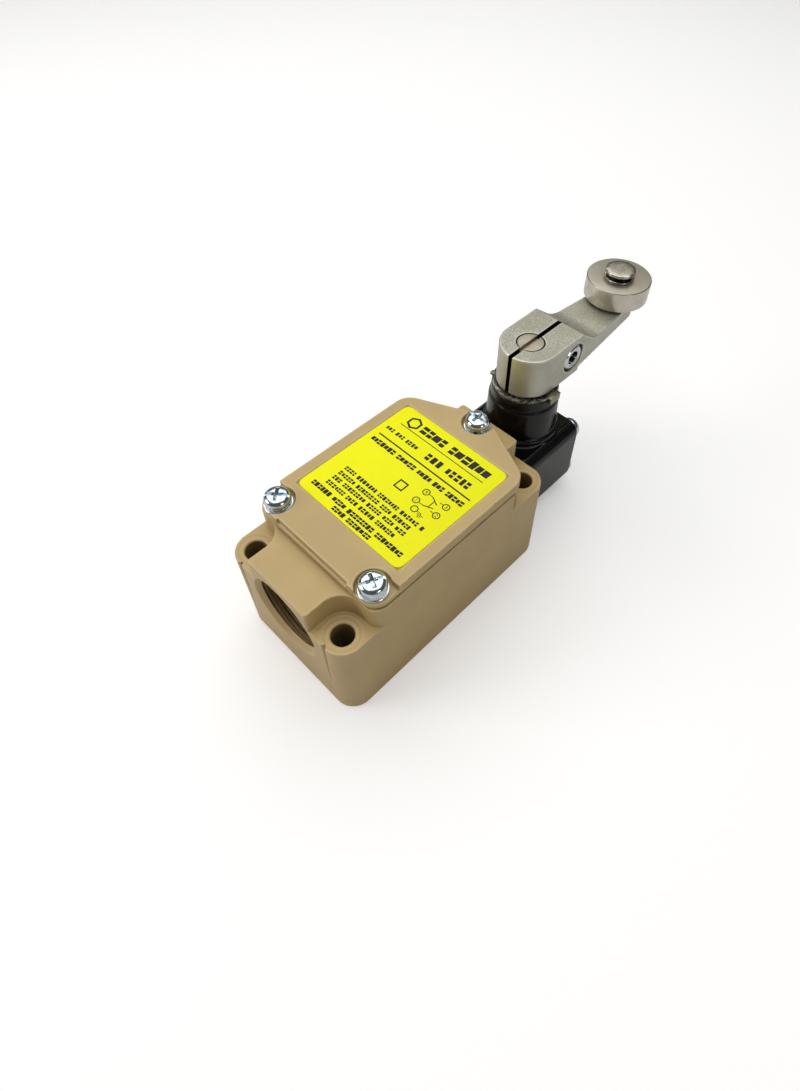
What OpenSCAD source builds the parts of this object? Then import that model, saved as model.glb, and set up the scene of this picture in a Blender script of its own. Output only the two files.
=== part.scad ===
// Roller-lever limit switch lying on its mounting face.
// Origin: centre of the four mounting holes, on the back face.
// +Z points out of the cover, +Y towards the rotary head, +X to the right.

/* [Mounting] */
// Distance between the mounting holes across the housing
mount_pitch_x = 30.2; // [30.1:0.1:30.3]
// Distance between the mounting holes along the housing
mount_pitch_y = 58.7; // [58.6:0.1:58.8]
// Radius of the mounting holes
mount_hole_r = 2.6; // [2.5:0.05:2.65]

/* [Housing] */
// Width of the housing
body_w = 40.2; // [40:0.1:40.8]
// Length of the housing without the head
body_len = 68.4; // [68.2:0.1:69]
// Height of the mounting lugs
lug_h = 27.4; // [27.2:0.1:27.6]
// Height of the housing rim that carries the cover gasket
rim_h = 33.9; // [33.7:0.1:34.1]
// Core radius of the conduit thread
conduit_r = 9.32; // [9.25:0.01:9.4]
// Height of the conduit axis above the mounting face
conduit_z = 21.5; // [21.3:0.1:21.6]

/* [Cover] */
// Thickness of the cover gasket
gasket_t = 0.5; // [0.4:0.1:0.6]
// Height of the top of the cover
cover_top = 37.3; // [37.2:0.1:37.6]

/* [Lever and roller] */
// Distance from the shaft axis to the roller axis
lever_radius = 38; // [37:0.5:45]
// Radius of the roller
roller_r = 8.75; // [8:0.25:9.5]
// Width of the roller
roller_w = 5.9; // [5:0.1:7]
// Radius of the switch shaft
shaft_r = 3.5; // [3.4:0.05:3.6]
// Distance from the origin to the shaft axis
shaft_y = 47.2; // [47:0.1:47.4]

/* [Hidden] */
$fn = 96;
eps = 0.01;
run_fit = 0.05;

// housing
corner_r = 5.2;
half_w = body_w / 2;
end_y = body_len / 2;
hole_x = mount_pitch_x / 2;
hole_y = mount_pitch_y / 2;
lug_relief_r = 5.4;
hub_half_w = 9.75;
upper_front_y = -24;
upper_corner_r = 3;
strip_half_w = 9.4;
strip_y1 = 33.8;
floor_t = 4;
cavity_x = 16.2;
cavity_front_y = -18.5;
cavity_back_y = 24.8;
ground_x = 11;
ground_y = -13.5;

// cover and its screws
cover_half_w = 19.9;
cover_front_y = -24.2;
flange_t = 1.3;
cover_base = rim_h + gasket_t;
flange_top = cover_base + flange_t;
cover_corner_r = 4.1;
cover_notch_r = 4;
cover_shoulder_r = 5;
cover_shoulder_y = 19.8;
cover_slope = 25;
cover_peak_x = 1.2;
screw_x = 15.8;
screw_y = -20.6;
screw_back_y = 28.7;
COVER_SCREWS = [[-screw_x, screw_y], [screw_x, screw_y], [0, screw_back_y]];
boss_r = 4.2;
small_core_r = 1.45;
small_shank_r = 1.75;
small_head_r = 3.15;
slim_head_r = 3;
small_head_h = 2.3;
flat_washer_r = 3.35;
flat_washer_t = 0.5;
spring_washer_t = 0.8;
label_half_w = 16.8;
label_front_y = -14.55;
label_back_y = 21.1;
label_t = 0.3;
label_recess = 0.4;

// head
head_half_w = 13;
head_gasket_t = 0.4;
head_y0 = end_y + head_gasket_t;
head_y1 = 57;
head_z0 = 3;
head_z1 = 25;
head_edge_r = 3.4;
head_wall_z = 3.2;
head_cavity_x = 6.9;
head_cavity_y1 = 53.6;
head_roof_z = 22;
plinth_r = 10.4;
plinth_top = 26.4;
collar_base_r = 9.8;
collar_top_r = 9.3;
collar_shoulder_z = 35.6;
neck_r = 8.8;
collar_top = 39.2;
bushing_r = 5.2;
seal_r = 6.6;
seal_z = 36;
head_screw_x = 9.8;
head_screw_z = [6.6, 21.4];
head_screw_depth = 8;

// shaft and cam
pivot_r = 2.4;
pivot_z = 4.2;
shaft_step_z = 6.4;
cam_r = 5.2;
cam_flat = 3.6;
cam_z0 = 10.5;
cam_z1 = 17.5;

// lever
lever_z0 = 40.5;
lever_z1 = 52;
lever_half_w = 7.8;
block_y1 = 58.9;
arm_z0 = 41.6;
arm_z1 = 46.4;
arm_end_half_w = 5.4;
ramp_r = 10;
ramp_slope = 38;
ramp_bite = 0.03;
ramp_mid_z = arm_z1 + ramp_r * (1 - cos(ramp_slope));
ramp_mid_y = block_y1 + (lever_z1 - ramp_mid_z) / tan(ramp_slope);
ramp_y = ramp_mid_y + ramp_r * sin(ramp_slope);
slit_w = 1;
slit_y1 = 63;
clamp_y = 55.9;
clamp_z = 46.3;
clamp_head_r = 3.6;
clamp_bore_r = 4;
clamp_shank_r = 2.5;
clamp_seat_x = 3.7;

// roller
roller_y = shaft_y + lever_radius;
roller_pin_r = 2.5;
roller_bush_r = 3.5;
roller_washer_r = 6.6;
roller_washer_t = 0.6;
roller_gap = 0.1;
roller_z0 = arm_z1 + roller_washer_t + roller_gap;
roller_z1 = roller_z0 + roller_w;
bush_rim_r = 4;
bush_rim_t = 0.3;
pin_neck_r = 3.4;
pin_neck_z0 = roller_z1 + bush_rim_t + roller_gap;
pin_head_r = 4.1;
pin_head_z0 = pin_neck_z0 + 1;
pin_head_t = 1;

// plunger chain
plunge_z = 14;
plunge_travel = 1.7;
plunger_r = 2.45;
plunger_tip_y = shaft_y - cam_r - 0.1;
guide_r = 4.5;
guide_end_y = end_y + head_gasket_t + 0.4;

// built-in switch
case_half_w = 12;
case_y0 = -2;
case_y1 = 21;
case_wall = 1.6;
case_top = 18.9;
lid_t = 1.6;
lid_top = case_top + lid_t;
tail_y0 = -9;
tail_h = 5;
tail_screw_x = 7.5;
tail_screw_y = -6.2;
term_x = 7.6;
nc_y = 13.4;
no_y = 2;
leg_t = 0.9;
leg_z = 10;
bridge_y = 8.6;
bridge_t = 0.6;
contact_gap = 0.1;
nc_leg_y = bridge_y + bridge_t + contact_gap;
no_leg_y = bridge_y - plunge_travel - contact_gap - leg_t;
button_r = 2;
plunger_end_y = case_y1 + plunge_travel + 0.2;

// ---- shared shapes ----

// rectangle with round corners, from [x0, y0] to [x1, y1]
module round_rect(x0, y0, x1, y1, r) {
    translate([x0 + r, y0]) square([x1 - x0 - 2 * r, y1 - y0]);
    translate([x0, y0 + r]) square([x1 - x0, y1 - y0 - 2 * r]);
    for (x = [x0 + r, x1 - r], y = [y0 + r, y1 - r]) translate([x, y]) circle(r);
}

// cylinder along +Z
module rod_z(x, y, z0, z1, r) {
    translate([x, y, z0]) cylinder(r = r, h = z1 - z0);
}

// cylinder along +Y
module rod_y(x, z, y0, y1, r) {
    translate([x, y0, z]) rotate([-90, 0, 0]) cylinder(r = r, h = y1 - y0);
}

// cylinder along +X
module rod_x(y, z, x0, x1, r) {
    translate([x0, y, z]) rotate([0, 90, 0]) cylinder(r = r, h = x1 - x0);
}

// ring about Z
module ring_z(x, y, z0, z1, r_in, r_out) {
    difference() {
        rod_z(x, y, z0, z1, r_out);
        rod_z(x, y, z0 - 1, z1 + 1, r_in);
    }
}

// screw standing on z = 0 under its head, shank down, with a combined slot and cross recess
module pan_screw(shank_r, shank_l, head_r, head_h) {
    recess_w = head_r * 0.3;
    rim_h = head_h * 0.55;
    difference() {
        union() {
            translate([0, 0, -shank_l]) cylinder(r = shank_r, h = shank_l + eps);
            cylinder(r = head_r, h = rim_h);
            translate([0, 0, rim_h]) cylinder(r1 = head_r, r2 = head_r * 0.66, h = head_h - rim_h);
        }
        translate([-head_r - 1, -recess_w / 2, head_h - 0.8]) cube([2 * head_r + 2, recess_w, 2]);
        translate([-recess_w / 2, -head_r * 0.55, head_h - 1.3]) cube([recess_w, head_r * 1.1, 2]);
    }
}

// coil spring along +Z, made of half turns that slope alternately about Y and meet end to end
module coil(mean_r, wire_r, turns, pitch) {
    slope = atan(pitch / (4 * mean_r));
    for (i = [0:2 * turns - 1]) translate([0, 0, (i + 0.5) * pitch / 2])
        rotate([0, i % 2 == 0 ? slope : -slope, 0]) rotate([0, 0, 180 * (i % 2)])
            rotate_extrude(angle = 180) translate([mean_r / cos(slope), 0]) circle(wire_r, $fn = 24);
}

// ---- housing ----

// part of the housing above the mounting lugs
module upper_outline() {
    difference() {
        union() {
            round_rect(-hub_half_w, -end_y, hub_half_w, 0, 0.8);
            round_rect(-half_w, upper_front_y, half_w, 10, upper_corner_r);
            round_rect(-strip_half_w, 20, strip_half_w, strip_y1, 1);
            polygon([[half_w, 0], [half_w, 19.8], [17.2, 24.1], [strip_half_w, 28.4],
                [-strip_half_w, 28.4], [-17.2, 24.1], [-half_w, 19.8], [-half_w, 0]]);
            translate([-hole_x, -hole_y]) square([2 * hole_x, hole_y]);
        }
        for (sx = [-1, 1]) {
            translate([sx * hole_x, -hole_y]) circle(lug_relief_r);
            translate([sx * hole_x, hole_y]) circle(mount_hole_r + 0.9);
        }
    }
}

module cavity_outline() {
    difference() {
        polygon([[cavity_x, cavity_front_y], [cavity_x, 17.8], [13.4, 22], [9, cavity_back_y],
            [-9, cavity_back_y], [-13.4, 22], [-cavity_x, 17.8], [-cavity_x, cavity_front_y]]);
        for (sx = [-1, 1]) translate([sx * screw_x, screw_y]) circle(boss_r);
    }
}

module housing() {
    color([0.78, 0.67, 0.47])
    difference() {
        union() {
            linear_extrude(lug_h) round_rect(-half_w, -end_y, half_w, end_y, corner_r);
            linear_extrude(rim_h) upper_outline();
        }
        translate([0, 0, floor_t]) linear_extrude(rim_h) cavity_outline();
        for (x = [-hole_x, hole_x], y = [-hole_y, hole_y]) {
            rod_z(x, y, -1, lug_h + 10, mount_hole_r);
            translate([x, y, lug_h - 0.5]) cylinder(r1 = mount_hole_r, r2 = mount_hole_r + 0.9, h = 0.9);
        }
        for (p = COVER_SCREWS) rod_z(p[0], p[1], rim_h - 9, rim_h + 1, small_core_r);
        for (x = [-head_screw_x, head_screw_x], z = head_screw_z)
            rod_y(x, z, end_y - head_screw_depth, end_y + 1, small_core_r);
        rod_y(0, plunge_z, cavity_back_y - 1, end_y + 1, guide_r);
        rod_y(0, conduit_z, -end_y - 1, cavity_front_y + 1, conduit_r);
        translate([0, -end_y - 0.1, conduit_z]) rotate([-90, 0, 0])
            cylinder(r1 = conduit_r + 1.5, r2 = conduit_r, h = 1.5);
        for (x = [-tail_screw_x, tail_screw_x]) rod_z(x, tail_screw_y, 1.2, floor_t + 1, 1.5);
        rod_z(ground_x, ground_y, 0.8, floor_t + 1, 1.75);
    }
}

// ---- cover ----

// outline of the cover: square at the conduit end, sloping to a blunt peak at the head end
module cover_outline(grow) {
    w = cover_half_w + grow;
    shoulder_x = cover_half_w - cover_shoulder_r;
    r = cover_shoulder_r + grow;
    slope_x = shoulder_x + r * sin(cover_slope);
    slope_y = cover_shoulder_y + r * cos(cover_slope);
    peak_y = slope_y + (slope_x - cover_peak_x) * tan(cover_slope);
    round_rect(-w, cover_front_y - grow, w, 10, cover_corner_r);
    for (sx = [-1, 1]) translate([sx * shoulder_x, cover_shoulder_y]) circle(r);
    polygon([[w, 0], [w, cover_shoulder_y], [slope_x, slope_y], [cover_peak_x, peak_y],
        [-cover_peak_x, peak_y], [-slope_x, slope_y], [-w, cover_shoulder_y], [-w, 0]]);
}

module cover_gasket() {
    color([0.16, 0.15, 0.14])
    translate([0, 0, rim_h]) linear_extrude(gasket_t) difference() {
        cover_outline(-0.3);
        difference() {
            translate([-cavity_x - 0.2, cavity_front_y - 0.2]) square([2 * cavity_x + 0.4, 40.2]);
            for (sx = [-1, 1]) translate([sx * screw_x, screw_y]) circle(boss_r);
            for (sx = [-1, 1]) translate([sx * 18.6, 22.6]) circle(5.5);
        }
        for (p = COVER_SCREWS) translate([p[0], p[1]]) circle(small_shank_r + 0.2);
    }
}

module cover() {
    color([0.78, 0.67, 0.47])
    difference() {
        union() {
            translate([0, 0, cover_base]) linear_extrude(flange_t) cover_outline(0);
            translate([0, 0, cover_base]) linear_extrude(cover_top - cover_base) difference() {
                cover_outline(0);
                for (p = COVER_SCREWS) translate([p[0], p[1]]) circle(cover_notch_r);
                for (sx = [-1, 1]) {
                    translate([sx * (screw_x + 4), screw_y - 4])
                        square([8, 2 * cover_notch_r + 7.2], center = true);
                    translate([sx * (screw_x + 2), screw_y - 4]) square([8, 8], center = true);
                }
                translate([-cover_notch_r, screw_back_y]) square([2 * cover_notch_r, 8]);
            }
        }
        translate([-label_half_w - 0.15, label_front_y - 0.15, cover_top - label_recess])
            cube([2 * label_half_w + 0.3, label_back_y - label_front_y + 0.3, 2]);
        translate([-cavity_x + 0.6, -15, cover_base - 1])
            cube([2 * cavity_x - 1.2, 36, 1 + cover_top - cover_base - label_recess - 1.3]);
        for (p = COVER_SCREWS) rod_z(p[0], p[1], cover_base - 1, flange_top + 1, small_shank_r + 0.2);
    }
}

module label_plate() {
    color([1, 0.95, 0.02])
    translate([0, 0, cover_top - label_recess]) linear_extrude(label_t)
        round_rect(-label_half_w, label_front_y, label_half_w, label_back_y, 1);
}

module cover_flat_washers() {
    color([0.72, 0.74, 0.74])
    for (p = COVER_SCREWS)
        ring_z(p[0], p[1], flange_top, flange_top + flat_washer_t, small_shank_r + 0.15, flat_washer_r);
}

module cover_spring_washers() {
    color([0.62, 0.66, 0.68])
    for (p = COVER_SCREWS) difference() {
        ring_z(p[0], p[1], flange_top + flat_washer_t, flange_top + flat_washer_t + spring_washer_t,
            small_shank_r + 0.1, small_head_r);
        translate([p[0], p[1] - 0.3, flange_top + flat_washer_t - 1]) cube([small_head_r + 1, 0.6, 4]);
    }
}

module cover_screws() {
    color([0.8, 0.83, 0.84])
    for (p = COVER_SCREWS) {
        seat_z = flange_top + flat_washer_t + spring_washer_t;
        translate([p[0], p[1], seat_z]) rotate([0, 0, 35])
            pan_screw(small_core_r, seat_z - rim_h + 7, small_head_r, small_head_h);
    }
}

// ---- rotary head ----

// outline of the head across Y, drawn in X and Z
module head_outline(inset) {
    round_rect(-head_half_w + inset, head_z0 + inset, head_half_w - inset, head_z1 - inset, head_edge_r);
}

// turns a shape drawn in X and Z into a solid between two Y values
module along_y(y0, y1) {
    translate([0, y1, 0]) rotate([90, 0, 0]) linear_extrude(y1 - y0) children();
}

module head_gasket() {
    color([0.12, 0.12, 0.12])
    difference() {
        along_y(end_y, end_y + head_gasket_t) head_outline(0.3);
        translate([-head_cavity_x, end_y - 1, head_z0 + head_wall_z])
            cube([2 * head_cavity_x, 3, head_roof_z - head_z0 - head_wall_z]);
        for (x = [-head_screw_x, head_screw_x], z = head_screw_z)
            rod_y(x, z, end_y - 1, end_y + 2, small_shank_r + 0.1);
    }
}

module head_casing() {
    color([0.05, 0.05, 0.05])
    difference() {
        union() {
            along_y(head_y0, head_y1) head_outline(0);
            rod_z(0, shaft_y, head_z1 - 5, plinth_top, plinth_r);
            translate([0, shaft_y, head_z1 - 2])
                cylinder(r1 = collar_base_r, r2 = collar_top_r, h = collar_shoulder_z - head_z1 + 2);
            translate([0, shaft_y, collar_shoulder_z - eps])
                cylinder(r1 = collar_top_r, r2 = neck_r, h = 0.8);
            rod_z(0, shaft_y, collar_shoulder_z, collar_top, neck_r);
        }
        translate([-head_cavity_x, head_y0 - 1, head_z0 + head_wall_z])
            cube([2 * head_cavity_x, head_cavity_y1 - head_y0 + 1, head_roof_z - head_z0 - head_wall_z]);
        rod_z(0, shaft_y, head_roof_z - 1, collar_top + 1, bushing_r);
        rod_z(0, shaft_y, seal_z, collar_top + 1, seal_r);
        rod_z(0, shaft_y, pivot_z - 0.2, head_z0 + head_wall_z + 1, pivot_r + run_fit);
        for (x = [-head_screw_x, head_screw_x], z = head_screw_z)
            rod_y(x, z, head_y0 - 1, head_y1 + 1, small_shank_r + 0.1);
    }
}

module head_screws() {
    color([0.8, 0.83, 0.84])
    for (x = [-head_screw_x, head_screw_x], z = head_screw_z)
        translate([x, head_y1, z]) rotate([-90, 0, 0])
            pan_screw(small_core_r, head_y1 - end_y + head_screw_depth - 1, slim_head_r, small_head_h);
}

module shaft_bushing() {
    color([0.72, 0.5, 0.25])
    ring_z(0, shaft_y, head_roof_z, seal_z, shaft_r + run_fit, bushing_r);
}

module shaft_seal() {
    color([0.08, 0.08, 0.08])
    ring_z(0, shaft_y, seal_z, collar_top - 0.2, shaft_r + 0.1, seal_r);
}

module stop_ring() {
    color([0.6, 0.58, 0.45])
    difference() {
        union() {
            rod_z(0, shaft_y, collar_top, collar_top + 0.6, neck_r - 0.1);
            translate([7, shaft_y - 1.6, collar_top]) cube([2.6, 4, 0.8]);
            translate([neck_r + 0.2, shaft_y - 1.6, collar_top - 1.3]) cube([0.6, 4, 2.1]);
            translate([-8.4, shaft_y - 4.4, collar_top]) cube([1.6, 1.2, 0.8]);
        }
        rod_z(0, shaft_y, collar_top - 1, collar_top + 2, seal_r + 0.2);
    }
}

module shaft() {
    color([0.62, 0.58, 0.5])
    difference() {
        union() {
            rod_z(0, shaft_y, pivot_z, shaft_step_z, pivot_r);
            rod_z(0, shaft_y, shaft_step_z, lever_z1, shaft_r);
        }
        translate([-0.5, shaft_y - 5, lever_z1 - 1.2]) cube([1, 10, 3]);
        rod_x(shaft_y, (cam_z0 + cam_z1) / 2, -6, 6, 1);
    }
}

module cam() {
    color([0.45, 0.45, 0.46])
    difference() {
        rod_z(0, shaft_y, cam_z0, cam_z1, cam_r);
        rod_z(0, shaft_y, cam_z0 - 1, cam_z1 + 1, shaft_r);
        translate([-cam_r - 1, shaft_y - cam_flat - 5, cam_z0 - 1])
            cube([2 * cam_r + 2, 5, cam_z1 - cam_z0 + 2]);
        rod_x(shaft_y, (cam_z0 + cam_z1) / 2, -6, 6, 1);
    }
}

module cam_pin() {
    color([0.5, 0.5, 0.5])
    rod_x(shaft_y, (cam_z0 + cam_z1) / 2, -4.9, 4.9, 1);
}

module return_spring() {
    color([0.6, 0.6, 0.62])
    translate([0, shaft_y, cam_z1 + 0.8]) coil(4.6, 0.4, 3, 1.1);
}

// ---- lever, clamp and roller ----

// plan of the arm: tapers from the clamp block to the roller axis
module arm_plan() {
    polygon([[-lever_half_w, block_y1 - 1], [lever_half_w, block_y1 - 1], [lever_half_w, block_y1],
        [arm_end_half_w, roller_y], [-arm_end_half_w, roller_y], [-lever_half_w, block_y1]]);
}

// turns a shape drawn in Y and Z into a solid between two X values
module along_x(x0, x1) {
    translate([x0, 0, 0]) rotate([90, 0, 90]) linear_extrude(x1 - x0) children();
}

// side of the ramp between the clamp block and the arm: a straight slope that ends in a hollow curve;
// the curve bites slightly into both faces, so that it meets each of them at an edge
module ramp_profile() {
    difference() {
        polygon([[block_y1 - 1, arm_z0], [ramp_y, arm_z0], [ramp_y, arm_z1], [ramp_mid_y, ramp_mid_z],
            [block_y1, lever_z1], [block_y1 - 1, lever_z1]]);
        translate([ramp_y, arm_z1 + ramp_r - ramp_bite]) circle(ramp_r);
    }
}

module lever_arm() {
    color([0.7, 0.7, 0.68])
    difference() {
        union() {
            translate([0, 0, lever_z0]) linear_extrude(lever_z1 - lever_z0) {
                translate([0, shaft_y]) circle(lever_half_w);
                translate([-lever_half_w, shaft_y]) square([2 * lever_half_w, block_y1 - shaft_y]);
            }
            translate([0, 0, arm_z0]) linear_extrude(arm_z1 - arm_z0) {
                arm_plan();
                translate([0, roller_y]) circle(arm_end_half_w);
            }
            intersection() {
                translate([0, 0, arm_z0]) linear_extrude(lever_z1 - arm_z0) arm_plan();
                along_x(-10, 10) ramp_profile();
            }
        }
        rod_z(0, shaft_y, lever_z0 - 1, lever_z1 + 1, shaft_r);
        translate([-slit_w / 2, shaft_y - 12, lever_z0 - 1]) cube([slit_w, slit_y1 - shaft_y + 12, 20]);
        rod_x(clamp_y, clamp_z, -12, 12, clamp_shank_r);
        rod_x(clamp_y, clamp_z, clamp_seat_x, 12, clamp_bore_r);
        rod_z(0, roller_y, arm_z0 - 1, arm_z1 + 1, roller_pin_r);
    }
}

module lever_clamp_screw() {
    color([0.75, 0.76, 0.77])
    difference() {
        union() {
            rod_x(clamp_y, clamp_z, clamp_seat_x, lever_half_w - 0.2, clamp_head_r);
            rod_x(clamp_y, clamp_z, -lever_half_w - 0.5, clamp_seat_x, clamp_shank_r);
        }
        translate([lever_half_w - 2.7, clamp_y, clamp_z]) rotate([0, 90, 0])
            cylinder(r = 2, h = 5, $fn = 6);
    }
}

module roller_washer() {
    color([0.06, 0.06, 0.06])
    ring_z(0, roller_y, arm_z1, arm_z1 + roller_washer_t, roller_pin_r, roller_washer_r);
}

module roller_pin() {
    color([0.75, 0.75, 0.74])
    union() {
        rod_z(0, roller_y, arm_z0 - 0.9, pin_neck_z0 + eps, roller_pin_r);
        rod_z(0, roller_y, pin_neck_z0, pin_head_z0 + eps, pin_neck_r);
        rod_z(0, roller_y, pin_head_z0, pin_head_z0 + pin_head_t, pin_head_r);
        rod_z(0, roller_y, arm_z0 - 0.9, arm_z0, roller_pin_r + 1.2);
    }
}

module roller() {
    color([0.64, 0.61, 0.56])
    difference() {
        translate([0, roller_y, roller_z0]) rotate_extrude()
            polygon([[0, 0], [roller_r - 0.4, 0], [roller_r, 0.4], [roller_r, roller_w - 0.3],
                [roller_r - 0.3, roller_w], [0, roller_w]]);
        rod_z(0, roller_y, roller_z0 - 1, roller_z1 + 1, roller_bush_r);
    }
}

module roller_bush() {
    color([0.72, 0.5, 0.25])
    difference() {
        union() {
            rod_z(0, roller_y, roller_z0, roller_z1 + eps, roller_bush_r);
            rod_z(0, roller_y, roller_z1, roller_z1 + bush_rim_t, bush_rim_r);
        }
        rod_z(0, roller_y, roller_z0 - 1, roller_z1 + 1, roller_pin_r + run_fit);
    }
}

// ---- plunger between the cam and the built-in switch ----

module plunger_guide() {
    color([0.75, 0.6, 0.3])
    difference() {
        union() {
            rod_y(0, plunge_z, cavity_back_y, guide_end_y, guide_r);
            rod_y(0, plunge_z, end_y, guide_end_y, guide_r + 1.2);
        }
        rod_y(0, plunge_z, cavity_back_y - 1, guide_end_y + 1, plunger_r + run_fit);
    }
}

module head_plunger() {
    color([0.66, 0.66, 0.68])
    union() {
        rod_y(0, plunge_z, plunger_end_y, plunger_tip_y, plunger_r);
        rod_y(0, plunge_z, plunger_tip_y - 2, plunger_tip_y - 0.8, guide_r - 0.3);
    }
}

module plunger_spring() {
    color([0.6, 0.6, 0.62])
    translate([0, guide_end_y + 0.32, plunge_z]) rotate([-90, 0, 0])
        coil(3.5, 0.3, 4, (plunger_tip_y - 2 - guide_end_y - 0.7) / 4);
}

// ---- built-in switch ----

module switch_case() {
    color([0.2, 0.13, 0.1])
    difference() {
        union() {
            translate([-case_half_w, case_y0, floor_t])
                cube([2 * case_half_w, case_y1 - case_y0, case_top - floor_t]);
            translate([-case_half_w, tail_y0, floor_t])
                cube([2 * case_half_w, case_y0 - tail_y0 + 1, tail_h]);
        }
        translate([-case_half_w + case_wall, case_y0 + case_wall, floor_t + case_wall])
            cube([2 * (case_half_w - case_wall), case_y1 - case_y0 - 2 * case_wall, 30]);
        rod_y(0, plunge_z, case_y1 - 4, case_y1 + 1, button_r + run_fit);
        for (x = [-tail_screw_x, tail_screw_x])
            rod_z(x, tail_screw_y, floor_t - 1, floor_t + tail_h + 1, 1.6);
    }
}

module switch_lid() {
    color([0.24, 0.16, 0.12])
    difference() {
        union() {
            translate([-case_half_w, case_y0, case_top]) cube([2 * case_half_w, case_y1 - case_y0, lid_t]);
            for (x = [-term_x, term_x], y = [no_y, nc_y]) rod_z(x, y, case_top - 3, case_top + eps, 2.3);
        }
        for (x = [-term_x, term_x], y = [no_y, nc_y]) rod_z(x, y, case_top - 4, lid_top + 1, small_core_r);
        for (x = [-6.5, 6.5], y = [nc_leg_y, no_leg_y])
            translate([x - 1.7, y - 0.1, case_top - 1]) cube([3.4, leg_t + 0.2, 4]);
    }
}

module switch_screws() {
    color([0.78, 0.8, 0.8])
    for (x = [-tail_screw_x, tail_screw_x]) translate([x, tail_screw_y, floor_t + tail_h])
        pan_screw(1.5, floor_t + tail_h - 1.4, 2.7, 2);
}

// pair of fixed contacts: terminal plate on the lid with a leg down into the case
module contact_pair(leg_y, plate_y0, plate_y1) {
    for (sx = [-1, 1]) difference() {
        union() {
            translate([sx * term_x - 3.2, plate_y0, lid_top]) cube([6.4, plate_y1 - plate_y0, leg_t]);
            translate([sx * 6.5 - 1.6, leg_y, leg_z]) cube([3.2, leg_t, lid_top + leg_t - leg_z]);
        }
        rod_z(sx * term_x, leg_y > bridge_y ? nc_y : no_y, lid_top - 1, lid_top + 3, small_shank_r);
    }
}

module nc_contacts() {
    color([0.83, 0.68, 0.3]) contact_pair(nc_leg_y, nc_leg_y, nc_y + 3.4);
}

module no_contacts() {
    color([0.83, 0.68, 0.3]) contact_pair(no_leg_y, no_y - 3.4, no_leg_y + leg_t);
}

module terminal_clamps() {
    color([0.74, 0.75, 0.75])
    for (x = [-term_x, term_x], y = [no_y, nc_y]) difference() {
        translate([x - 3.1, y - 3, lid_top + leg_t]) cube([6.2, 6, 0.8]);
        rod_z(x, y, lid_top, lid_top + 4, small_shank_r);
    }
}

module terminal_screws() {
    color([0.8, 0.83, 0.84])
    for (x = [-term_x, term_x], y = [no_y, nc_y])
        translate([x, y, lid_top + leg_t + 0.8]) pan_screw(small_core_r, 5, slim_head_r, small_head_h);
}

module switch_button() {
    color([0.7, 0.12, 0.1])
    union() {
        rod_y(0, plunge_z, bridge_y + bridge_t + 4, plunger_end_y - 0.1, button_r);
        difference() {
            translate([-2.5, bridge_y - 1.6, plunge_z - 2.5]) cube([5, 8, 5]);
            translate([-3, bridge_y, plunge_z - 1.8]) cube([6, bridge_t, 3.6]);
        }
    }
}

module contact_bridge() {
    color([0.84, 0.7, 0.35])
    translate([-9.2, bridge_y, plunge_z - 1.8]) cube([18.4, bridge_t, 3.6]);
}

module contact_spring() {
    color([0.6, 0.6, 0.62])
    translate([0, case_y0 + case_wall + 0.3, plunge_z]) rotate([-90, 0, 0])
        coil(1.9, 0.25, 5, (bridge_y - 1.6 - case_y0 - case_wall - 0.6) / 5);
}

module ground_washer() {
    color([0.72, 0.74, 0.74])
    ring_z(ground_x, ground_y, floor_t, floor_t + 0.6, 1.9, 3.8);
}

module ground_screw() {
    color([0.35, 0.6, 0.35])
    translate([ground_x, ground_y, floor_t + 0.6]) pan_screw(1.75, 3.4, small_head_r, small_head_h);
}

housing();
cover_gasket();
cover();
label_plate();
cover_screws();
cover_spring_washers();
cover_flat_washers();
head_gasket();
head_casing();
head_screws();
shaft_bushing();
shaft_seal();
stop_ring();
plunger_guide();
plunger_spring();
return_spring();
switch_case();
switch_lid();
switch_screws();
nc_contacts();
no_contacts();
terminal_clamps();
terminal_screws();
contact_spring();
ground_screw();
ground_washer();
shaft();
cam();
cam_pin();
lever_arm();
lever_clamp_screw();
roller_washer();
roller_pin();
roller();
roller_bush();
head_plunger();
switch_button();
contact_bridge();
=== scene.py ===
"""Roller-lever limit switch: the looks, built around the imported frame.

Sizes are in millimetres and turn into metres where a mesh is made. +Z points out of the cover, +Y
towards the rotary head and +X to the right, as in the frame.
"""

import logging
import math
from dataclasses import dataclass
from enum import Enum
from typing import Iterable, Sequence

import bmesh
import bpy
import numpy as np
from mathutils import Matrix, Vector


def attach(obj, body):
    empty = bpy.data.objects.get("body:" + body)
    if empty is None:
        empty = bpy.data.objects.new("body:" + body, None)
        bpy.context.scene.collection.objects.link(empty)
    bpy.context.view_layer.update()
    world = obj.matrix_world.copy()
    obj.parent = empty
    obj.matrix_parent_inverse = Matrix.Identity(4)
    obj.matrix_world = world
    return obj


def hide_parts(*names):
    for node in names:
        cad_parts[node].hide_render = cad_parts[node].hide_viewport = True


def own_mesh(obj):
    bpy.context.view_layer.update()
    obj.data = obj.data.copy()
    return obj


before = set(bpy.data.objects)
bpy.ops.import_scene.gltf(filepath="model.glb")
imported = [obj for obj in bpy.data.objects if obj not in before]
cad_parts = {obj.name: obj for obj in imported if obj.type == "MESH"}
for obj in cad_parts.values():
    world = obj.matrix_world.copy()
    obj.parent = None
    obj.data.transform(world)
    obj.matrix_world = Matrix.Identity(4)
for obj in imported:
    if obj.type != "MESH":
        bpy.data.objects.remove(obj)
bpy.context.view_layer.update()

MM = 0.001
LOG = logging.getLogger("limit_switch")
EDGE_AND_HOLLOW_MARKS = ("edge", "hollow")
SHORTEST_EDGE = 0.03
SHAFT_Y = 47.2
ROLLER_Y = 85.2
MOUTH_Z = 21.5
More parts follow.
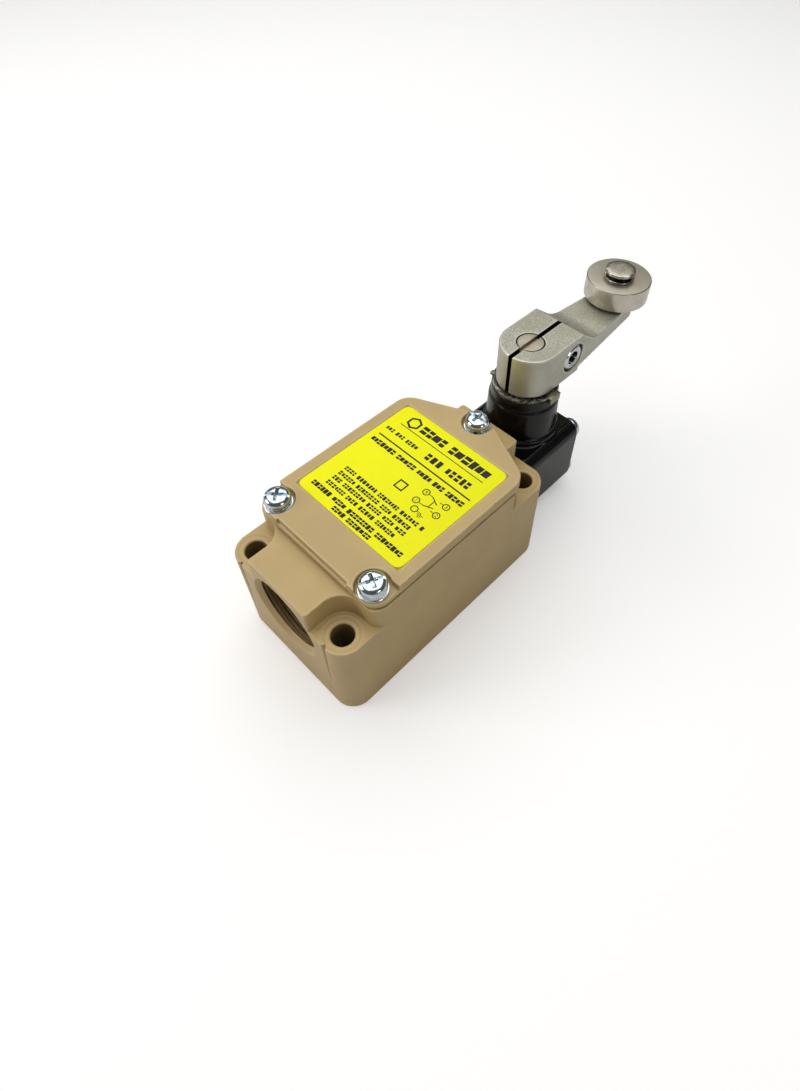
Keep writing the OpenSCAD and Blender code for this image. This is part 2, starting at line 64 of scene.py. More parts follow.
HOLES = tuple((x, y) for y in (-29.35, 29.35) for x in (-15.1, 15.1))

Colour = tuple[float, float, float]
Point = tuple[float, float, float]
Flat = tuple[float, float]
Term = "Value | float"


class Body(Enum):
    """The bodies of the frame that pieces ride on."""

    CASE = "body"
    LEVER = "lever"
    ROLLER = "roller"
    PLUNGER = "head_plunger"
    SLIDE = "switch_slide"


class Axis(Enum):
    """Directions that turned parts and fasteners stand along."""

    X = (1.0, 0.0, 0.0)
    Y = (0.0, 1.0, 0.0)
    Z = (0.0, 0.0, 1.0)

    def turn(self) -> Matrix:
        """The rotation that takes +Z to this direction."""
        return Vector((0.0, 0.0, 1.0)).rotation_difference(Vector(self.value)).to_matrix().to_4x4()

    def at(self, x: float, y: float, z: float) -> Matrix:
        """That rotation, then a move to a place."""
        return Matrix.Translation((x, y, z)) @ self.turn()


def srgb(*channels: int) -> Colour:
    """Turns red, green and blue display values from 0 to 255 into a linear colour."""
    shares = [value / 255 for value in channels]
    return tuple(v / 12.92 if v <= 0.04045 else ((v + 0.055) / 1.055) ** 2.4 for v in shares)


# ---- node trees ----


class Graph:
    """A node tree, and the one way that nodes are added to it."""

    def __init__(self, tree: bpy.types.NodeTree) -> None:
        """Keeps the tree."""
        self.tree = tree

    def node(self, kind: str, settings: dict | None = None, sockets: dict | None = None) -> bpy.types.Node:
        """Adds a node.

        Args:
            kind: The node's type.
            settings: Its own settings, set first.
            sockets: Values or links of its inputs, by name or number.

        Returns:
            The new node.
        """
        made = self.tree.nodes.new(kind)
        for name, value in (settings or {}).items():
            setattr(made, name, value)
        self.fill(made, sockets or {})
        return made

    def fill(self, node: bpy.types.Node, sockets: dict) -> None:
        """Sets or links a node's inputs, by name or number."""
        for key, value in sockets.items():
            if isinstance(value, (Value, bpy.types.NodeSocket)):
                self.tree.links.new(getattr(value, "socket", value), node.inputs[key])
            else:
                node.inputs[key].default_value = value


class Value:
    """A shader socket that takes arithmetic, so that shader maths reads as expressions."""

    def __init__(self, graph: Graph, socket: bpy.types.NodeSocket) -> None:
        """Keeps the graph and the socket."""
        self.graph = graph
        self.socket = socket

    def _math(self, operation: str, *terms: Term, clamp: bool = False) -> "Value":
        """Adds a Math node on the terms."""
        made = self.graph.node("ShaderNodeMath", {"operation": operation, "use_clamp": clamp},
                               dict(enumerate(terms)))
        return Value(self.graph, made.outputs[0])

    def __add__(self, other: Term) -> "Value":
        """Sum."""
        return self._math("ADD", self, other)

    def __sub__(self, other: Term) -> "Value":
        """Difference."""
        return self._math("SUBTRACT", self, other)

    def __rsub__(self, other: float) -> "Value":
        """Difference from a number."""
        return self._math("SUBTRACT", other, self)

    def __mul__(self, other: Term) -> "Value":
        """Product."""
        return self._math("MULTIPLY", self, other)

    __radd__, __rmul__ = __add__, __mul__

    def root(self) -> "Value":
        """Square root."""
        return self._math("SQRT", self)

    def limited(self) -> "Value":
        """The value held from 0 to 1."""
        return self._math("ADD", self, 0.0, clamp=True)

    def larger(self, other: Term) -> "Value":
        """The larger of two values."""
        return self._math("MAXIMUM", self, other)

    def spread(self, low: float, high: float, to_low: float = 0.0, to_high: float = 1.0) -> "Value":
        """Maps low..high smoothly to to_low..to_high, and holds it there."""
        made = self.graph.node("ShaderNodeMapRange", {"interpolation_type": "SMOOTHSTEP"},
                               {"Value": self, "From Min": low, "From Max": high, "To Min": to_low,
                                "To Max": to_high})
        return Value(self.graph, made.outputs[0])


class Coating(Graph):
    """A material's tree, with the patterns that finishes are mixed from."""

    def __init__(self, name: str) -> None:
        """Starts the material with a surface and an output."""
        self.material = bpy.data.materials.new(name)
        self.material.use_nodes = True
        self.material.node_tree.nodes.clear()
        super().__init__(self.material.node_tree)
        self.surface = self.node("ShaderNodeBsdfPrincipled")
        self.node("ShaderNodeOutputMaterial", {}, {"Surface": self.surface.outputs[0]})
        self.place = Value(self, self.node("ShaderNodeTexCoord").outputs["Object"])

    def set(self, **values: object) -> None:
        """Sets or links the surface's own sockets, underscores standing for spaces."""
        self.fill(self.surface, {name.replace("_", " "): value for name, value in values.items()})

    def noise(self, size_mm: float, detail: float = 3.0, rough: float = 0.55,
              place: Value | None = None) -> Value:
        """Soft noise from 0 to 1.

        Args:
            size_mm: Size of its largest blots.
            detail: How many finer layers it has.
            rough: How strong those are.
            place: Coordinates, or the object's own.

        Returns:
            The noise.
        """
        made = self.node("ShaderNodeTexNoise", {},
                         {"Vector": place or self.place, "Scale": 1.0 / (size_mm * MM),
                          "Detail": detail, "Roughness": rough})
        return Value(self, made.outputs["Fac"])

    def cells(self, size_mm: float) -> Value:
        """Distance to the nearest grain centre, for blasted skins."""
        made = self.node("ShaderNodeTexVoronoi", {"feature": "SMOOTH_F1"},
                         {"Vector": self.place, "Scale": 1.0 / (size_mm * MM), "Smoothness": 0.6})
        return Value(self, made.outputs["Distance"])

    def edges_and_hollows(self) -> tuple[Value, Value]:
        """How much the surface stands out and lies in, as mark_edges_and_hollows left it."""
        marks = [self.node("ShaderNodeAttribute", {"attribute_name": name}) for name in EDGE_AND_HOLLOW_MARKS]
        return tuple(Value(self, mark.outputs["Fac"]) for mark in marks)

    def axes(self, vector: Value | None = None) -> tuple[Value, Value, Value]:
        """The three parts of a vector, or of the object's own coordinates."""
        made = self.node("ShaderNodeSeparateXYZ", {}, {0: vector or self.place})
        return tuple(Value(self, made.outputs[i]) for i in range(3))

    def from_axis(self, axis: Axis, *centre: float) -> Value:
        """Distance from a line along an axis through a centre in millimetres."""
        moved = self.node("ShaderNodeMapping", {},
                          {"Vector": self.place, "Location": [-c * MM for c in centre]})
        parts = self.axes(Value(self, moved.outputs[0]))
        across = [part for part, along in zip(parts, axis.value) if not along]
        return (across[0] * across[0] + across[1] * across[1]).root()

    def facing_up(self) -> Value:
        """How far the surface faces +Z, from -1 to 1."""
        return self.axes(Value(self, self.node("ShaderNodeNewGeometry").outputs["Normal"]))[2]

    def blend(self, factor: Term, first: "Value | Colour", second: "Value | Colour") -> Value:
        """Mixes two colours.

        Args:
            factor: 0 for the first colour and 1 for the second.
            first: A colour or a link.
            second: A colour or a link.

        Returns:
            The mixed colour.
        """
        ends = [c if isinstance(c, Value) else (*c, 1.0) for c in (first, second)]
        made = self.node("ShaderNodeMix", {"data_type": "RGBA"}, {0: factor, 6: ends[0], 7: ends[1]})
        return Value(self, made.outputs[2])

    def layered(self, shade: "Value | Colour", *layers: "tuple[Value, Colour]") -> Value:
        """Lays colours over a shade in turn.

        Args:
            shade: What they go on.
            layers: How strong each one is, held from 0 to 1, and its colour.

        Returns:
            The mixed colour.
        """
        for factor, over in layers:
            shade = self.blend(factor.limited(), shade, over)
        return shade

    def relief(self, height: Value, depth_mm: float, below: Value | None = None) -> Value:
        """Bump from a height of 0 to 1.

        Args:
            height: The height.
            depth_mm: How deep 0 lies under 1.
            below: A normal that this bump lies on.

        Returns:
            The bent normal.
        """
        sockets = {"Height": height, "Distance": depth_mm * MM, "Strength": 1.0}
        if below is not None:
            sockets["Normal"] = below
        return Value(self, self.node("ShaderNodeBump", {}, sockets).outputs[0])


# ---- finishes ----


@dataclass(frozen=True)
class Finish:
    """What all finishes have: a name, the record's slot and a main colour."""

    name: str
    slot: str
    colour: Colour

    def lay(self, coat: Coating) -> None:
        """Builds the finish's nodes; each kind has its own."""
        raise NotImplementedError

    def material(self) -> bpy.types.Material:
        """The finish's material, made the first time that it is asked for."""
        kept = bpy.data.materials.get(self.name)
        if kept is None:
            coat = Coating(self.name)
            self.lay(coat)
            kept = coat.material
        return kept


@dataclass(frozen=True)
class Enamel(Finish):
    """Baked enamel on a casting: orange peel over cast grain, thin on edges, darker in hollows from dust and
    painted shade.
    """

    thin: Colour
    # Colour laid in the hollows, standing partly for dust and partly for painted shade.
    dust: Colour
    rough: float = 0.42
    coat: float = 0.1
    peel_mm: float = 1.1
    peel_depth: float = 0.012
    grain_depth: float = 0.010
    chips: float = 0.9
    shine: float = 0.5
    holes: tuple[Flat, ...] = ()
    hole_r: float = 2.75

    def lay(self, coat: Coating) -> None:
        """Mottled colour, edges worn thin with a few bare chips, dust and painted shade in hollows, painted
        shade in the holes, and fine peel.
        """
        drift = coat.noise(9.0, 2.0).spread(0.35, 0.65)
        speck = coat.noise(0.22, 2.0, 0.6)
        edge, hollow = coat.edges_and_hollows()
        deeper = tuple(0.93 * c for c in self.colour)
        # The dust colour laid on the hollows is partly dust and partly painted shade.
        shade = coat.layered(self.colour, (drift * 0.8, deeper), (speck.spread(0.55, 0.8) * 0.1, self.thin),
                             (hollow * 0.22, self.dust), (edge * 0.5, self.thin))
        for x, y in self.holes:
            inside = (self.hole_r * MM - coat.from_axis(Axis.Z, x, y, 0.0)).spread(0.0, 0.25 * MM)
            shade = coat.blend(inside * 0.85, shade, HOLE_SHADE)
        chip = (edge * coat.noise(0.9, 4.0, 0.65)).spread(self.chips * 0.62, self.chips * 0.70)
        smear = coat.noise(5.0, 4.0, 0.6)
        grain = coat.relief(coat.noise(0.16, 2.0, 0.5), self.grain_depth)
        coat.set(Base_Color=coat.blend(chip * 0.75, shade, srgb(150, 146, 138)), Metallic=chip * 0.7,
                 Roughness=self.rough + (smear - 0.5) * 0.16 - edge * 0.05 + speck * 0.04,
                 Coat_Weight=self.coat, Coat_Roughness=0.22, Specular_IOR_Level=self.shine,
                 Normal=coat.relief(coat.noise(self.peel_mm, 2.0, 0.5), self.peel_depth, grain))


@dataclass(frozen=True)
class CastMetal(Finish):
    """Bare die casting, tumbled, with painted shade in its slit, in the gap round its bore and in its
    hollows.
    """

    dark: Colour
    slit_w: float
    slit_y: float
    bore: Flat
    bore_r: float
    rough: float = 0.42
    metallic: float = 0.85
    grain_mm: float = 0.34
    grain_depth: float = 0.045

    def lay(self, coat: Coating) -> None:
        """Speckled metal whose blasted grain is deepest on the faces that look up."""
        up = coat.facing_up().spread(0.3, 0.9, 0.22, 1.0)
        cell = coat.cells(self.grain_mm)
        fine = coat.noise(0.14, 3.0, 0.6)
        drift = coat.noise(6.0, 3.0, 0.55).spread(0.3, 0.7)
        edge, hollow = coat.edges_and_hollows()
        # The hollow layer below is painted shade in the hollows.
        shade = coat.layered(self.colour, (drift * 0.3, self.dark),
                             (cell.spread(0.3, 0.7) * up * 0.55, self.dark),
                             (fine.spread(0.55, 0.75) * 0.18, srgb(236, 234, 226)),
                             (hollow * 0.3, srgb(88, 84, 74)), (edge * 0.5, srgb(232, 230, 222)))
        x, y, _ = coat.axes()
        # Painted shade in the slit.
        near = (self.slit_w * 0.5 * MM - x.larger(x * -1.0)).spread(-0.08 * MM, 0.04 * MM)
        slit_shade = near * (self.slit_y * MM - y).spread(-0.3 * MM, 0.1 * MM)
        shade = coat.blend(slit_shade, shade, SLIT_SHADE)
        # Painted shade in the gap round the shaft's bore.
        ring = (self.bore_r * MM - coat.from_axis(Axis.Z, *self.bore, 0.0)).spread(-0.05 * MM, 0.05 * MM)
        height = (1.0 - cell.spread(0.0, 0.8)) * up + fine * 0.25
        coat.set(Base_Color=coat.blend(ring * 0.94, shade, BORE_GAP_SHADE),
                 Roughness=(self.rough + (fine - 0.5) * 0.2 + up * 0.12 - edge * 0.12).limited(),
                 Metallic=self.metallic, Specular_IOR_Level=0.5,
                 Normal=coat.relief(height, self.grain_depth))


@dataclass(frozen=True)
class TurnedMetal(Finish):
    """Metal turned or ground on a lathe: fine rings about an upright axis."""

    centre_y: float
    tint: Colour
    top_face_shade: Colour
    rough: float = 0.22
    ring_mm: float = 0.16
    ring_depth: float = 0.0022

    def lay(self, coat: Coating) -> None:
        """Rings by the distance from the axis, lines by height on the rim, hand marks and painted shade on
        the top faces.
        """
        x, y, z = coat.axes()
        flat = coat.facing_up().spread(0.5, 0.8)
        across = coat.from_axis(Axis.Z, 0.0, self.centre_y, 0.0) * flat + z * (1.0 - flat)
        line = coat.node("ShaderNodeCombineXYZ", {},
                         {0: across, 1: x * 0.02, 2: (y - self.centre_y * MM) * 0.02})
        rings = coat.noise(self.ring_mm, 3.0, 0.7, Value(coat, line.outputs[0]))
        smear = coat.noise(3.2, 4.0, 0.6)
        edge, _ = coat.edges_and_hollows()
        # The flat faces that look up get a darker colour: painted shade for the light that falls on them.
        shade = coat.layered(self.colour, (smear.spread(0.3, 0.7), self.tint),
                             (flat * (0.85 + (smear - 0.5) * 0.3), self.top_face_shade),
                             (edge * 0.5, srgb(226, 222, 212)))
        base = self.rough + (rings - 0.5) * 0.14 + (smear - 0.5) * 0.12
        coat.set(Base_Color=shade, Roughness=(base + flat * 0.16).limited(), Metallic=1.0,
                 Normal=coat.relief(rings, self.ring_depth))


@dataclass(frozen=True)
class Plating(Finish):
    """Bright zinc or nickel plate on small steel parts, with a faint passivate tint."""

    tint: Colour
    rough: float = 0.16

    def lay(self, coat: Coating) -> None:
        """Two tints in blots, painted shade in hollows, tool scuffs and a slightly uneven skin."""
        blot = coat.noise(1.6, 3.0, 0.6).spread(0.38, 0.62)
        scuff = coat.noise(0.35, 4.0, 0.7).spread(0.45, 0.8)
        edge, hollow = coat.edges_and_hollows()
        # The hollow layer is painted shade in the hollows.
        shade = coat.layered(self.colour, (blot, self.tint), (hollow * 0.6, srgb(70, 72, 74)),
                             (edge * 0.4, srgb(244, 246, 248)))
        coat.set(Base_Color=shade, Roughness=(self.rough + scuff * 0.2 + hollow * 0.2).limited(),
                 Metallic=1.0, Normal=coat.relief(coat.noise(0.5, 3.0, 0.6), 0.016))


@dataclass(frozen=True)
class PlatingWithPaintedShade(Plating):
    """Plating with painted shade close to an axis, in a socket or under a head."""

    axis: Axis = Axis.X
    centre: Point = (0.0, 0.0, 0.0)
    reach: float = 2.0
    below: float = 1000.0

    def lay(self, coat: Coating) -> None:
        """The plate, then the painted shade."""
        super().lay(coat)
        shade = Value(coat, coat.surface.inputs["Base Color"].links[0].from_socket)
        along = coat.axes()[self.axis.value.index(1.0)]
        near = (self.reach * MM - coat.from_axis(self.axis, *self.centre)).spread(0.0, 0.15 * MM)
        low = (self.below * MM - along).spread(0.0, 0.08 * MM)
        # Painted shade near the axis and below a height: under the pin's head and in the screw's socket.
        coat.set(Base_Color=coat.blend(near * low * 0.97, shade, AXIS_RECESS_SHADE))


@dataclass(frozen=True)
class StopPaint(Finish):
    """Black paint on the stop ring, worn to metal on its edges and on its bent tab."""

    worn: Colour
    tab: Colour
    tab_x: float = 8.2

    def lay(self, coat: Coating) -> None:
        """Paint, bright edges and the bare tab."""
        blot = coat.noise(0.8, 4.0, 0.65)
        edge, _ = coat.edges_and_hollows()
        bare = (coat.axes()[0] - self.tab_x * MM).spread(0.0, 0.3 * MM)
        rubbed = edge.spread(0.35, 0.9) * blot.spread(0.42, 0.62)
        shade = coat.layered(self.colour, (bare * 0.9, self.tab), (rubbed * 0.8, self.worn))
        coat.set(Base_Color=shade, Metallic=rubbed.larger(bare) * 0.8, Roughness=0.24 + blot * 0.16,
                 Normal=coat.relief(blot, 0.02))


@dataclass(frozen=True)
class Moulding(Finish):
    """Moulded rubber, nylon or phenolic: fine grain, dust and dull edges."""

    dust: Colour
    rough: float = 0.6
    grain_mm: float = 0.12
    grain_depth: float = 0.006

    def lay(self, coat: Coating) -> None:
        """Dusty mottling over a fine grain."""
        dust = coat.noise(2.5, 4.0, 0.65).spread(0.45, 0.8)
        grain = coat.noise(self.grain_mm, 3.0, 0.6)
        edge, _ = coat.edges_and_hollows()
        coat.set(Base_Color=coat.layered(self.colour, (dust * 0.25, self.dust), (edge * 0.2, self.dust)),
                 Roughness=(self.rough + (grain - 0.5) * 0.2 + dust * 0.05).limited(),
                 Normal=coat.relief(grain, self.grain_depth))


@dataclass(frozen=True)
class Film(Finish):
    """Printed film or its ink: almost flat colour with a calendered skin."""

    rough: float
    coat: float
    worn: float = 0.05

    def lay(self, coat: Coating) -> None:
        """Faint fading, rubbed spots and a slight ripple from the glue."""
        fade = coat.noise(7.0, 3.0).spread(0.3, 0.7)
        rub = coat.noise(0.5, 4.0, 0.7).spread(0.6, 0.8)
        paler = tuple(c * 0.95 + 0.004 for c in self.colour)
        coat.set(Base_Color=coat.layered(self.colour, (fade * 0.35, paler), (rub * self.worn, paler)),
                 Roughness=self.rough + (fade - 0.5) * 0.08 + rub * 0.08, Coat_Weight=self.coat,
                 Coat_Roughness=0.15, Specular_IOR_Level=0.22,
                 Normal=coat.relief(coat.noise(2.6, 2.0, 0.5), 0.010))


# Near-black colours of painted shade: in the mounting holes, in the lever's slit, in the gap round its bore
# and in recesses near an axis.
HOLE_SHADE = (0.02, 0.016, 0.01)
SLIT_SHADE = (0.004, 0.004, 0.004)
BORE_GAP_SHADE = (0.006, 0.006, 0.005)
AXIS_RECESS_SHADE = (0.01, 0.01, 0.01)
CASE_ENAMEL = Enamel("case_enamel", "beige_paint", srgb(194, 167, 111), thin=srgb(216, 194, 148),
                     dust=srgb(126, 104, 68), holes=HOLES)
# A darker copy of the case enamel for the thread inside the conduit mouth: painted shade.
SHADED_THREAD_ENAMEL = Enamel("thread_enamel", "beige_paint", srgb(120, 100, 66), thin=srgb(176, 152, 108),
                       dust=srgb(60, 48, 30), rough=0.34, chips=0.7)
HEAD_ENAMEL = Enamel("head_enamel", "black_paint", srgb(7, 7, 7), thin=srgb(30, 30, 29),
                     dust=srgb(5, 5, 5), rough=0.2, coat=0.05, peel_mm=1.8, peel_depth=0.012,
                     grain_depth=0.002, chips=1.1, shine=0.3)
LEVER_CAST = CastMetal("lever_casting_metal", "die_cast", srgb(196, 195, 180), dark=srgb(136, 134, 118),
                       slit_w=1.1, slit_y=63.0, bore=(0.0, SHAFT_Y), bore_r=3.68)
ROLLER_STEEL = TurnedMetal("roller_steel", "nickel", srgb(206, 198, 184), centre_y=ROLLER_Y,
                           tint=srgb(184, 175, 158), top_face_shade=srgb(146, 138, 120), rough=0.24)
SHAFT_STEEL = TurnedMetal("shaft_steel", "steel", srgb(168, 156, 136), centre_y=SHAFT_Y,
                          tint=srgb(140, 126, 106), top_face_shade=srgb(134, 119, 90), rough=0.38, ring_depth=0.006)
PIN_STEEL = PlatingWithPaintedShade("pin_steel", "nickel", srgb(170, 164, 150), tint=srgb(152, 144, 128),
                          rough=0.26, axis=Axis.Z, centre=(0.0, ROLLER_Y, 0.0), reach=3.7, below=54.42)
RIM_STEEL = Plating("bush_rim_steel", "bronze", srgb(206, 198, 184), tint=srgb(186, 176, 160), rough=0.16)
ZINC = Plating("bright_zinc", "zinc_steel", srgb(214, 222, 228), tint=srgb(190, 206, 214), rough=0.14)
SOCKET_ZINC = PlatingWithPaintedShade("socket_zinc", "zinc_steel", srgb(222, 224, 222), tint=srgb(200, 206, 206),
                            rough=0.2, axis=Axis.X, centre=(0.0, 55.9, 46.3), reach=1.93)
GREEN_ZINC = Plating("green_zinc", "green_zinc", srgb(110, 160, 112), tint=srgb(150, 170, 110))
STOP_STEEL = StopPaint("stop_ring_steel", "steel", srgb(9, 9, 9), worn=srgb(168, 166, 150),
                       tab=srgb(146, 142, 112))
TOOL_STEEL = Plating("tool_steel", "steel", srgb(150, 150, 150), tint=srgb(128, 128, 130), rough=0.28)
SPRING_STEEL = Plating("spring_steel", "spring_steel", srgb(160, 162, 166), tint=srgb(120, 122, 128),
                       rough=0.24)
BRONZE = Plating("oiled_bronze", "bronze", srgb(176, 128, 70), tint=srgb(140, 96, 52), rough=0.34)
BRASS = Plating("contact_brass", "brass_contact", srgb(214, 178, 96), tint=srgb(190, 150, 78), rough=0.26)
NICKEL = Plating("clamp_nickel", "nickel", srgb(200, 198, 190), tint=srgb(180, 176, 166), rough=0.2)
RUBBER = Moulding("seal_rubber", "gasket_rubber", srgb(30, 29, 28), dust=srgb(70, 66, 60), rough=0.72)
# Black washer under the roller; its near-black colour stands partly for painted shadow under the roller.
BLACK_WASHER_AND_SHADOW = Moulding("washer_nylon", "black_plastic", srgb(16, 16, 17), dust=srgb(50, 49, 47), rough=0.5)
PHENOLIC = Moulding("phenolic", "phenolic", srgb(70, 44, 34), dust=srgb(120, 92, 74), rough=0.4,
                    grain_mm=0.3, grain_depth=0.01)
BUTTON_NYLON = Moulding("button_nylon", "red_plastic", srgb(170, 32, 26), dust=srgb(200, 110, 100),
                        rough=0.42)
LABEL_FILM = Film("label_film", "label", srgb(255, 255, 0), rough=0.55, coat=0.0)
LABEL_INK = Film("label_ink", "label", srgb(22, 20, 12), rough=0.45, coat=0.1)


# ---- mesh work ----


def corners(x0: float, y0: float, x1: float, y1: float) -> list[Flat]:
    """The corners of a rectangle, anticlockwise."""
    return [(x0, y0), (x1, y0), (x1, y1), (x0, y1)]


def rounded(outline: Sequence[Flat], radii: "float | Sequence[float]", steps: int = 5) -> list[Flat]:
    """Rounds the corners of a closed outline.

    Args:
        outline: The outline's corners in order.
        radii: One radius for all corners or one for each; 0 leaves a corner sharp.
        steps: Pieces that each round is made of.

    Returns:
        The rounded outline.
    """
    count = len(outline)
    sizes = [radii] * count if isinstance(radii, (int, float)) else radii
    points: list[Flat] = []
    for i, (corner, size) in enumerate(zip(outline, sizes)):
        here = Vector(corner)
        before, after = Vector(outline[i - 1]) - here, Vector(outline[(i + 1) % count]) - here
        if size <= 0:
            points.append(corner)
            continue
        half = before.angle(after) / 2
        reach = min(size / math.tan(half), 0.49 * before.length, 0.49 * after.length)
        start, end = here + before.normalized() * reach, here + after.normalized() * reach
        for k in range(steps + 1):
            t = k / steps
            points.append((start * (1 - t) ** 2 + here * (2 * t * (1 - t)) + end * t ** 2)[:])
    return points


def skinned(columns: Iterable[Sequence[Point]], apart: float = 1e-5) -> bmesh.types.BMesh:
    """Joins closed loops of points side by side into a mesh with its faces outwards.

    Args:
        columns: The loops; the last one closes on the first.
        apart: Points nearer to each other than this become one.

    Returns:
        The mesh.
    """
    bm = bmesh.new()
    loops = [[bm.verts.new(point) for point in column] for column in columns]
    for here, after in zip(loops, loops[1:]):
        for i in range(len(here)):
            bm.faces.new((here[i - 1], after[i - 1], after[i], here[i]))
    bmesh.ops.remove_doubles(bm, verts=bm.verts, dist=apart)
    bmesh.ops.recalc_face_normals(bm, faces=bm.faces)
    return bm


def turned(outline: Iterable[Flat], share: float) -> list[Point]:
    """Points of (radius, height) after a share of a turn about +Z."""
    angle = math.tau * share
    return [(r * math.cos(angle), r * math.sin(angle), z) for r, z in outline]


def revolved(outline: Sequence[Flat], segments: int = 96) -> bmesh.types.BMesh:
    """Turns a closed outline of radius and height about +Z into a closed mesh."""
    return skinned(turned(outline, k / segments) for k in range(segments + 1))


def rod(radius: float, z0: float, z1: float, segments: int = 64) -> bmesh.types.BMesh:
    """A cylinder about +Z."""
    return revolved(corners(0.0, z0, radius, z1), segments)


def lofted(first: Iterable[Point], second: Iterable[Point]) -> bmesh.types.BMesh:
    """Joins two loops with the same number of points into a closed mesh."""
    bm = bmesh.new()
    ends = [[bm.verts.new(point) for point in loop] for loop in (first, second)]
    for end in ends:
        bm.faces.new(end)
    low, high = ends
    for i in range(len(low)):
        bm.faces.new((low[i - 1], low[i], high[i], high[i - 1]))
    bmesh.ops.recalc_face_normals(bm, faces=bm.faces)
    return bm


def prism(outline: Sequence[Flat], z0: float, z1: float) -> bmesh.types.BMesh:
    """Raises a closed outline from z0 to z1."""
    return lofted([(x, y, z0) for x, y in outline], [(x, y, z1) for x, y in outline])


def linked(name: str, data: bpy.types.ID | None) -> bpy.types.Object:
    """A new object in the scene."""
    made = bpy.data.objects.new(name, data)
    bpy.context.scene.collection.objects.link(made)
    return made


def as_object(name: str, bm: bmesh.types.BMesh, place: Matrix | None = None,
              unit: float = MM) -> bpy.types.Object:
    """Puts a mesh into the scene, in metres.

    Args:
        name: The object's name.
        bm: The mesh, which is freed.
        place: Where it goes, in its own unit.
        unit: The mesh's unit.

    Returns:
        The object, at the origin, with its place in its mesh.
    """
    bm.transform(Matrix.Scale(unit, 4) @ (place or Matrix.Identity(4)))
    mesh = bpy.data.meshes.new(name)
    bm.to_mesh(mesh)
    bm.free()
    return linked(name, mesh)


def merged(*meshes: bpy.types.Mesh) -> bmesh.types.BMesh:
    """The meshes in one."""
    bm = bmesh.new()
    for mesh in meshes:
        bm.from_mesh(mesh)
    return bm


def node_copy(name: str, node: str) -> bpy.types.Object:
    """A new object with the mesh of a node of the frame."""
    bm = merged(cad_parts[node].data)
    bmesh.ops.remove_doubles(bm, verts=bm.verts, dist=2e-6)
    return as_object(name, bm, unit=1.0)


def settle(obj: bpy.types.Object) -> bpy.types.Object:
    """Makes an object's modifiers part of its mesh."""
    graph = bpy.context.evaluated_depsgraph_get()
    mesh = bpy.data.meshes.new_from_object(obj.evaluated_get(graph), preserve_all_data_layers=True,
                                           depsgraph=graph)
    mesh.name = obj.name
    obj.modifiers.clear()
    obj.data = mesh
    return obj


def modified(obj: bpy.types.Object, kind: str, **settings: object) -> bpy.types.Object:
    """Adds one modifier with its settings."""
    made = obj.modifiers.new(kind.lower(), kind)
    for name, value in settings.items():
        setattr(made, name, value)
    return obj


def eased(obj: bpy.types.Object, width_mm: float, angle: float = 40.0) -> bpy.types.Object:
    """Bevels the edges that are sharper than an angle in degrees."""
    modified(obj, "BEVEL", width=width_mm * MM, segments=2, limit_method="ANGLE",
             angle_limit=math.radians(angle))
    return settle(obj)


def carved(obj: bpy.types.Object, tools: Sequence[bpy.types.Object]) -> bpy.types.Object:
    """Cuts tools out of an object and throws the tools away."""
    for tool in tools:
        modified(obj, "BOOLEAN", object=tool, operation="DIFFERENCE", solver="EXACT")
    settle(obj)
    for tool in tools:
        bpy.data.objects.remove(tool)
    return obj


def mark_edges_and_hollows(obj: bpy.types.Object, radius_mm: float = 0.25, passes: int = 1) -> bpy.types.Object:
    """Writes how much each point stands out or lies in, as the edge and hollow marks; the hollow marks carry
    painted shade in several finishes.

    Args:
        obj: The object.
        radius_mm: An edge of this radius counts in full.
        passes: How often the marks are evened out along the surface.

    Returns:
        The same object.
    """
    mesh = obj.data
    count = len(mesh.vertices)
    at, normal = np.empty(count * 3), np.empty(count * 3)
    mesh.vertices.foreach_get("co", at)
    mesh.vertex_normals.foreach_get("vector", normal)
    at, normal = at.reshape(-1, 3), normal.reshape(-1, 3)
    ends = np.empty(len(mesh.edges) * 2, int)
    mesh.edges.foreach_get("vertices", ends)
    a, b = ends.reshape(-1, 2).T
    along = at[b] - at[a]
    square = np.maximum((along ** 2).sum(1), (SHORTEST_EDGE * MM) ** 2)
    bend_a = -2 * (normal[a] * along).sum(1) / square
    bend_b = 2 * (normal[b] * along).sum(1) / square
    shares = np.maximum(np.bincount(a, minlength=count) + np.bincount(b, minlength=count), 1)
    bend = (np.bincount(a, bend_a, count) + np.bincount(b, bend_b, count)) / shares
    bend = np.clip(bend * radius_mm * MM * 2, -1.5, 1.5)
    for _ in range(passes):
        around = (np.bincount(a, bend[b], count) + np.bincount(b, bend[a], count)) / shares
        bend = 0.5 * bend + 0.5 * around
    for name, values in zip(EDGE_AND_HOLLOW_MARKS, (bend, -bend)):
        layer = mesh.attributes.get(name) or mesh.attributes.new(name, "FLOAT", "POINT")
        layer.data.foreach_set("value", np.clip(values, 0, 1).astype(np.float32))
    return obj


def smooth_shaded(obj: bpy.types.Object, angle: float = 32.0) -> bpy.types.Object:
    """Shades an object smoothly, with edges sharper than the angle kept sharp."""
    mesh = obj.data
    mesh.polygons.foreach_set("use_smooth", [True] * len(mesh.polygons))
    mesh.set_sharp_from_angle(angle=math.radians(angle))
    return obj


def joined(obj: bpy.types.Object, body: Body, finish: Finish, *stands_for: str) -> bpy.types.Object:
    """Makes an object a piece of the model.

    Args:
        obj: The object, with its mesh final.
        body: The body that it rides on.
        finish: Its finish.
        stands_for: Nodes of the frame that it replaces.

    Returns:
        The same object.
    """
    obj.data.materials.clear()
    obj.data.materials.append(finish.material())
    if obj.data.attributes.get(EDGE_AND_HOLLOW_MARKS[0]) is None:
        mark_edges_and_hollows(obj)
    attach(obj, body.value)
    if stands_for:
        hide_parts(*stands_for)
    LOG.info("%-24s %7d faces, rides on %s", obj.name, len(obj.data.polygons), body.value)
    return obj


